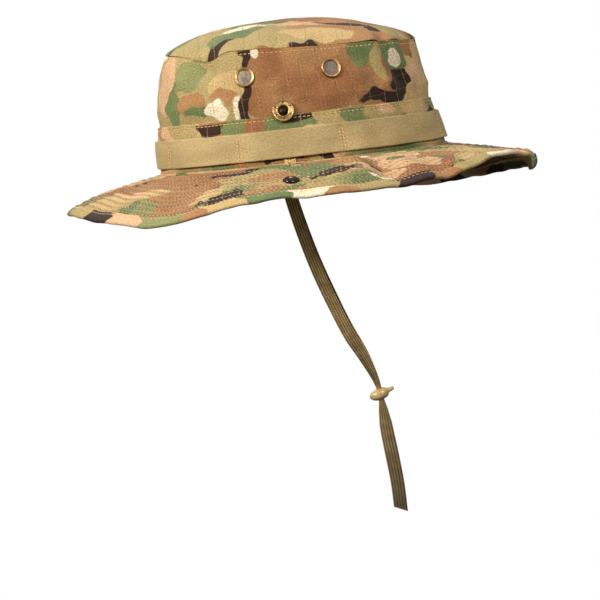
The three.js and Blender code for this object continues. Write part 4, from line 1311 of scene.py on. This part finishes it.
EYELET_Z, EYELET_R = 63.5, 7.2
for name, side in (("right", -1), ("left", 1)):
    for where, x in (("rear", -35.0), ("front", 26.0)):
        th_e = th_of(side, x, EYELET_Z)
        p, n = WALL.at(th_e, EYELET_Z, -0.5)
        m = frame_at(p, n)
        pre = name + "_" + where + "_"
        prof = [(EYELET_R, 0.05)] + arc(EYELET_R - 0.75, 0.62, 0.75, -10, 95, 7) + arc(EYELET_R - 1.62, 0.55, 0.42, 80, 190, 6) + [(EYELET_R - 2.05, -1.6), (EYELET_R - 1.5, -1.7), (EYELET_R - 1.4, -0.1)]
        o = lathe(pre + "ring", prof, 56, m, M["brass"])
        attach(o, "crown")
        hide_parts(pre + "eyelet_ring")
        # woven wires
        r0, pitch, amp = EYELET_R - 1.75, 1.12, 0.16
        paths = []
        k = int(r0 / pitch)
        for i in range(-k, k + 1):
            c = i * pitch
            L = math.sqrt(max(0.01, r0 * r0 - c * c))
            if L < 0.8:
                continue
            s = np.linspace(-L, L, max(8, int(L * 6)))
            w = amp * np.cos(np.pi * s / pitch) * (1 if i % 2 else -1)
            paths.append(np.stack([s, c + 0 * s, 0.12 + w], -1))
            paths.append(np.stack([c + 0 * s, s, 0.12 - w], -1))
        rot = math.radians(28 if where == "rear" else 52)
        R2 = np.array([[math.cos(rot), -math.sin(rot), 0], [math.sin(rot), math.cos(rot), 0], [0, 0, 1]])
        o = tubes(pre + "mesh", [put(q @ R2.T, m) for q in paths], 0.19, M["wire"], 5)
        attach(o, "crown")
        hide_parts(pre + "eyelet_mesh")
        # painted shadow: a dark disc behind the wire mesh stands in for the shade inside the crown
        shadow_disc_prof = [(0.02, -0.25), (r0 + 0.1, -0.25), (r0 + 0.1, -0.6), (0.02, -0.6)]
        o = lathe(pre + "shadow_disc", shadow_disc_prof, 40, m, M["shadow"], closed=False)
        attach(o, "crown")
        washer = [(EYELET_R - 1.2, -1.75), (EYELET_R - 0.4, -1.75), (EYELET_R - 0.1, -2.0), (EYELET_R - 0.5, -2.35), (EYELET_R - 1.9, -2.45), (EYELET_R - 2.1, -2.2), (EYELET_R - 1.9, -1.9)]
        o = lathe(pre + "washer", washer, 48, m, M["brass_dark"])
        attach(o, "crown")
        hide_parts(pre + "eyelet_washer")

    # socket half of the snap
    SX, SZ, SR = -11.0, 37.2, 7.8
    th_s = th_of(side, SX, SZ)
    p, n = WALL.at(th_s, SZ, 0.0)
    m = frame_at(p, n)
    # the dished face with six small holes
    rr = np.concatenate([[3.45], np.linspace(3.55, SR, 34)])
    seg = 132
    aa = np.arange(seg) * 2 * np.pi / seg
    h = np.interp(rr, [3.45, 3.7, 4.3, 4.8, 6.5, 7.1, 7.5, 7.8], [0.7, 1.15, 1.40, 1.22, 1.02, 1.22, 1.05, 0.35])
    A, Rr = np.meshgrid(aa, rr, indexing="ij")
    H = np.repeat(h[None], seg, 0)
    for k in range(6):
        a = math.radians(30 + 60 * k)
        d = np.hypot(Rr * np.cos(A) - 5.75 * math.cos(a), Rr * np.sin(A) - 5.75 * math.sin(a))
        H = H - 0.9 * (1 - sstep(0.34, 0.62, d))
    top = np.stack([Rr * np.cos(A), Rr * np.sin(A), H], -1)
    low = np.stack([np.minimum(Rr, SR - 0.25) * np.cos(A), np.minimum(Rr, SR - 0.25) * np.sin(A), 0 * H - 0.25], -1)
    zero = np.zeros((seg + 1, len(rr), 2))
    o = shell(name + "_socket_face", put(top, m).reshape(top.shape), put(low, m).reshape(low.shape), zero, zero, M["brass"], closed_u=True, flip=False)
    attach(o, "crown")
    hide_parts(name + "_snap_socket")
    # recess with its two spring wires
    cup = [(3.5, 0.75), (3.5, -0.85), (3.2, -0.85), (3.1, -0.55), (2.2, -0.5), (2.0, -0.8), (1.0, -0.85), (0.02, -0.85), (0.02, -1.0), (3.8, -1.0), (3.8, 0.6)]
    o = lathe(name + "_socket_cup", cup, 48, m, M["brass_dark"], closed=False)
    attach(o, "crown")
    sp = []
    for sg in (-1, 1):
        y = np.linspace(-2.7, 2.7, 18)
        sp.append(put(np.stack([sg * (1.35 + 0.12 * np.cos(y)), y, 0 * y + 0.1], -1), m))
    ring = np.linspace(0, 2 * np.pi, 40)
    sp.append(put(np.stack([2.9 * np.cos(ring), 2.9 * np.sin(ring), 0 * ring + 0.15], -1), m))
    o = tubes(name + "_socket_spring", sp, 0.24, M["brass"], 7)
    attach(o, "crown")
    capp = [(0.02, -4.55), (4.9, -4.55), (5.5, -4.75), (5.6, -5.05), (5.1, -5.35), (3.0, -5.5), (0.02, -5.55)]
    o = lathe(name + "_socket_back", [(0.02, -0.9), (2.45, -0.9), (2.45, -4.5)] + capp[1:], 48, m, M["brass_dark"], closed=False)
    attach(o, "crown")
    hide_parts(name + "_socket_cap")

    # stud half, on the brim
    lo_, hi_ = math.radians(60), math.radians(130)
    sd = lambda q: float(BRIM.at(q if side < 0 else 2 * np.pi - q, STUD_ARC + BRIM_IN)[0][0])
    for _ in range(40):
        mid = (lo_ + hi_) / 2
        if sd(mid) > SX:
            lo_ = mid
        else:
            hi_ = mid
    tq = lo_ if side < 0 else 2 * np.pi - lo_
    p, n = BRIM.at(tq, STUD_ARC + BRIM_IN, 0.15)
    m = frame_at(p, n, (1, 0, 0))
    body = [(5.75, 0.0), (6.05, 0.5), (6.0, 1.1), (5.6, 1.75), (4.8, 2.35), (3.8, 2.8), (2.8, 3.05), (1.75, 3.1), (1.75, -2.4), (2.2, -2.4), (2.2, 0.1), (5.6, 0.1)]
    o = lathe(name + "_stud_base", body, 56, m, M["black"])
    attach(o, name + "_brim_side")
    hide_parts(name + "_snap_stud")
    head = [(0.02, 3.7), (0.7, 3.66), (1.2, 3.5), (1.5, 3.2), (1.6, 2.9), (1.6, 2.4), (0.02, 2.4)]
    o = lathe(name + "_stud_head", head, 40, m, M["brass"], closed=False)
    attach(o, name + "_brim_side")
    capb = [(0.02, -2.35), (4.6, -2.4), (5.2, -2.75), (5.1, -3.2), (4.2, -3.5), (2.4, -3.65), (0.02, -3.7)]
    o = lathe(name + "_stud_back", capb, 48, m, M["black"], closed=False)
    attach(o, name + "_brim_side")
    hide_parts(name + "_stud_cap")

    # bartack that holds the strap's tab, and a loose thread end
    tb0 = th_of(side, -10.2, 1.5)
    zt = lambda u, v, h: WALL.at(tb0 + side * u / 84.0, 1.7 + v, -1.15 + h)[0]
    paths = []
    for k in range(8):
        u = -2.8 + 0.8 * k
        paths.append([zt(u - 0.15, -1.9, -0.5), zt(u, -1.2, 0.25), zt(u + 0.1, 1.2, 0.25), zt(u + 0.25, 1.9, -0.5)])
    for a, b in ((-3.2, 3.2), (3.2, -3.2)):
        paths.append([zt(a, -2.2, -0.4), zt(a * 0.55, -1.1, 0.6), zt(b * 0.55, 1.1, 0.6), zt(b, 2.2, -0.4)])
    c = zt(0.0, 0.0, 0.4)
    fine = []
    for q in paths:
        q = np.array(q)
        tt = np.linspace(0, 3, 12)
        fine.append(np.stack([np.interp(tt, range(4), q[:, i]) for i in range(3)], -1))
    tt = np.linspace(0, 1, 16)[:, None]
    tail = (1 - tt) ** 2 * (c + (-1.0, side * 0.4, -0.6)) + 2 * tt * (1 - tt) * (c + (-2.4, side * 3.0, 0.2)) + tt * tt * (c + (-1.6, side * 6.0, -2.0))
    fine.append(tail)
    o = tubes(name + "_bartack", fine, 0.36, M["thread_pale"], 6)
    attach(o, "crown")
    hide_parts(name + "_strap_bartack")


# ------------------------------------------------------------------ chin strap
ROUTE = np.array([[-15, 76.3, 1.5], [-14.7, 76.3, -5], [-13.6, 76.2, -16], [-11.8, 75.6, -28], [-6.3, 71.2, -53], [0.4, 63.2, -78], [8.7, 51.5, -103], [18.0, 37.5, -128], [26.7, 22.5, -146], [32.6, 8.6, -161], [35.2, 1.7, -170], [36.3, 1.3, -176.5], [36.75, 1.2, -183], [38.0, 1.2, -203], [39.9, 1.2, -223], [41.5, 1.2, -243], [41.8, 1.2, -262.6]])


def catmull(P, k=14):
    E = np.concatenate([[2 * P[0] - P[1]], P, [2 * P[-1] - P[-2]]])
    out = []
    for i in range(1, len(E) - 2):
        p0, p1, p2, p3 = E[i - 1], E[i], E[i + 1], E[i + 2]
        L = np.linalg.norm(p2 - p1)
        m1 = (p2 - p0) / (np.linalg.norm(p2 - p0)) * L
        m2 = (p3 - p1) / (np.linalg.norm(p3 - p1)) * L
        for t in np.linspace(0, 1, k, endpoint=False):
            out.append((2 * t**3 - 3 * t**2 + 1) * p1 + (t**3 - 2 * t**2 + t) * m1 + (-2 * t**3 + 3 * t**2) * p2 + (t**3 - t**2) * m2)
    out.append(P[-1])
    return np.array(out)


for name, side in (("right", -1), ("left", 1)):
    path = catmull(ROUTE * np.array([1, side, 1]))
    d = np.concatenate([[0], np.cumsum(np.linalg.norm(np.diff(path, axis=0), axis=1))])
    s = np.arange(0, d[-1], 1.0)
    s = np.append(s, d[-1])
    c = np.stack([np.interp(s, d, path[:, i]) for i in range(3)], -1)
    c = np.stack([np.convolve(np.pad(c[:, i], 3, mode="edge"), np.ones(7) / 7, "valid") for i in range(3)], -1)
    c[0], c[-1] = path[0], path[-1]
    t = unit(np.gradient(c, axis=0))
    w = unit(np.cross(t, np.array([0, 1.0, 0])))  # across, in the XZ plane
    nn = unit(np.cross(w, t))
    zb = c[:, 2]
    # the braid is gathered where it runs through the slider
    half = 4.25 + 0.75 * sstep(-183, -200, zb * 1.0)
    half = np.where(zb < -170, np.interp(zb, [-262, -215, -199, -188, -181, -170], [4.9, 5.0, 4.7, 3.3, 2.0, 2.0]), np.interp(zb, [-170, -160, -148, -130, 0], [2.1, 3.0, 3.9, 4.3, 4.3]))
    thick = np.interp(half, [2.0, 4.5], [1.15, 0.85])
    K = 36
    a = np.arange(K) * 2 * np.pi / K
    ex = np.sign(np.cos(a)) * np.abs(np.cos(a)) ** 0.62
    ez = np.sign(np.sin(a)) * np.abs(np.sin(a)) ** 0.62
    ribs = 1.0 + 0.26 * np.cos(ex * np.pi * 5.0)
    sec = c[:, None] + w[:, None] * (half[:, None] * ex[None])[..., None] + nn[:, None] * (thick[:, None] * (ez * ribs)[None])[..., None]
    # slanted cut end
    cut = 4.5
    sec[-1] += t[-1] * (ex * cut * 0.5)[:, None] - t[-1] * cut * 0.1
    sec[-2] += t[-1] * (ex * cut * 0.32)[:, None] - t[-1] * cut * 0.1
    sec[-3] += t[-1] * (ex * cut * 0.15)[:, None] - t[-1] * cut * 0.05
    uvx = np.repeat(s[:, None], K + 1, 1)
    exx = np.append(ex, ex[0])
    uvy = exx[None] * 4.4 + 0 * s[:, None] + 0.0
    o = loop_sweep(name + "_braid", sec, M["braid"], np.stack([uvx, uvy], -1) * MM, False, flip=False)
    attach(o, "chin_strap")
    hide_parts(name + "_strap")

    # the tab that the strap is sewn to, under the sweatband's edge
    y = np.array([78.3, 77.45])
    K2 = 24
    a2 = np.arange(K2) * 2 * np.pi / K2
    e1 = np.sign(np.cos(a2)) * np.abs(np.cos(a2)) ** 0.4
    e2 = np.sign(np.sin(a2)) * np.abs(np.sin(a2)) ** 0.6
    zz = np.linspace(-7, 6, 28)
    rib = 1 + 0.25 * np.cos(e1 * np.pi * 5)
    sec = np.stack([-15 + 4.9 * e1[None] + 0 * zz[:, None], side * (77.85 + 0.40 * (e2 * rib)[None]) + 0 * zz[:, None], zz[:, None] + 0 * e1[None]], -1)
    uvt = np.stack(np.broadcast_arrays(zz[:, None], np.append(e1, e1[0])[None] * 4.4), -1) * MM
    o = loop_sweep(name + "_tab", sec, M["braid"], uvt, False, flip=(side > 0))
    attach(o, "crown")
    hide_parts(name + "_strap_tab")


# ------------------------------------------------------------------ slider: a moulded bead with a tongue
def bead():
    nu, nv = 56, 36
    u = np.linspace(0, 2 * np.pi, nu + 1)[:-1]
    v = np.linspace(0.001, np.pi - 0.001, nv)
    U, V = np.meshgrid(u, v, indexing="ij")
    x = np.cos(V)  # -1 at the right of the sweep, along the long axis
    r = np.sin(V)
    fat = 1.0 - 0.10 * x
    X = -8.0 * x * 0.92 - 0.9
    Y = 5.4 * r * np.cos(U) * fat
    Z = 4.6 * r * np.sin(U) * fat
    # waist where the cord runs through
    Z = Z - 0.35 * gauss(X, 2.6) * np.sign(np.sin(U)) * (np.abs(np.sin(U)) > 0.6)
    P = np.stack([X, Y, Z], -1)
    tilt = math.radians(14)
    R = np.array([[math.cos(tilt), 0, -math.sin(tilt)], [0, 1, 0], [math.sin(tilt), 0, math.cos(tilt)]])
    return P, R


P, R = bead()
nu, nv = P.shape[:2]
centre = np.array([36.3, 0, -176.5])
f, _ = quads(nu, nv, True)
faces = f.tolist() + [[i * nv for i in range(nu)][::-1], [i * nv + nv - 1 for i in range(nu)]]
o = make("slider_bead", P.reshape(-1, 3) @ R.T + centre, faces, M["slider"])
import bmesh

bm = bmesh.new()
bm.from_mesh(o.data)
bmesh.ops.recalc_face_normals(bm, faces=bm.faces)
bm.to_mesh(o.data)
bm.free()
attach(o, "slider")
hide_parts("strap_slider")
# tongue
L = np.linspace(0, 1, 16)
K = 20
a = np.arange(K) * 2 * np.pi / K
e1 = np.sign(np.cos(a)) * np.abs(np.cos(a)) ** 0.7
e2 = np.sign(np.sin(a)) * np.abs(np.sin(a)) ** 0.7
wid = np.interp(L, [0, 0.6, 0.9, 1], [2.5, 2.1, 1.8, 0.5])
hgt = np.interp(L, [0, 0.7, 0.92, 1], [1.9, 1.45, 1.25, 0.4])
cx = 4.5 + 6.2 * L
sec = np.stack([cx[:, None] + 0 * e1[None], wid[:, None] * e1[None], 0.6 + hgt[:, None] * e2[None] + 0.5 * L[:, None] ** 2], -1)
sec = sec @ R.T + centre
o = loop_sweep("slider_tongue", sec, M["slider"], np.zeros((16, K + 1, 2)), False)
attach(o, "slider")
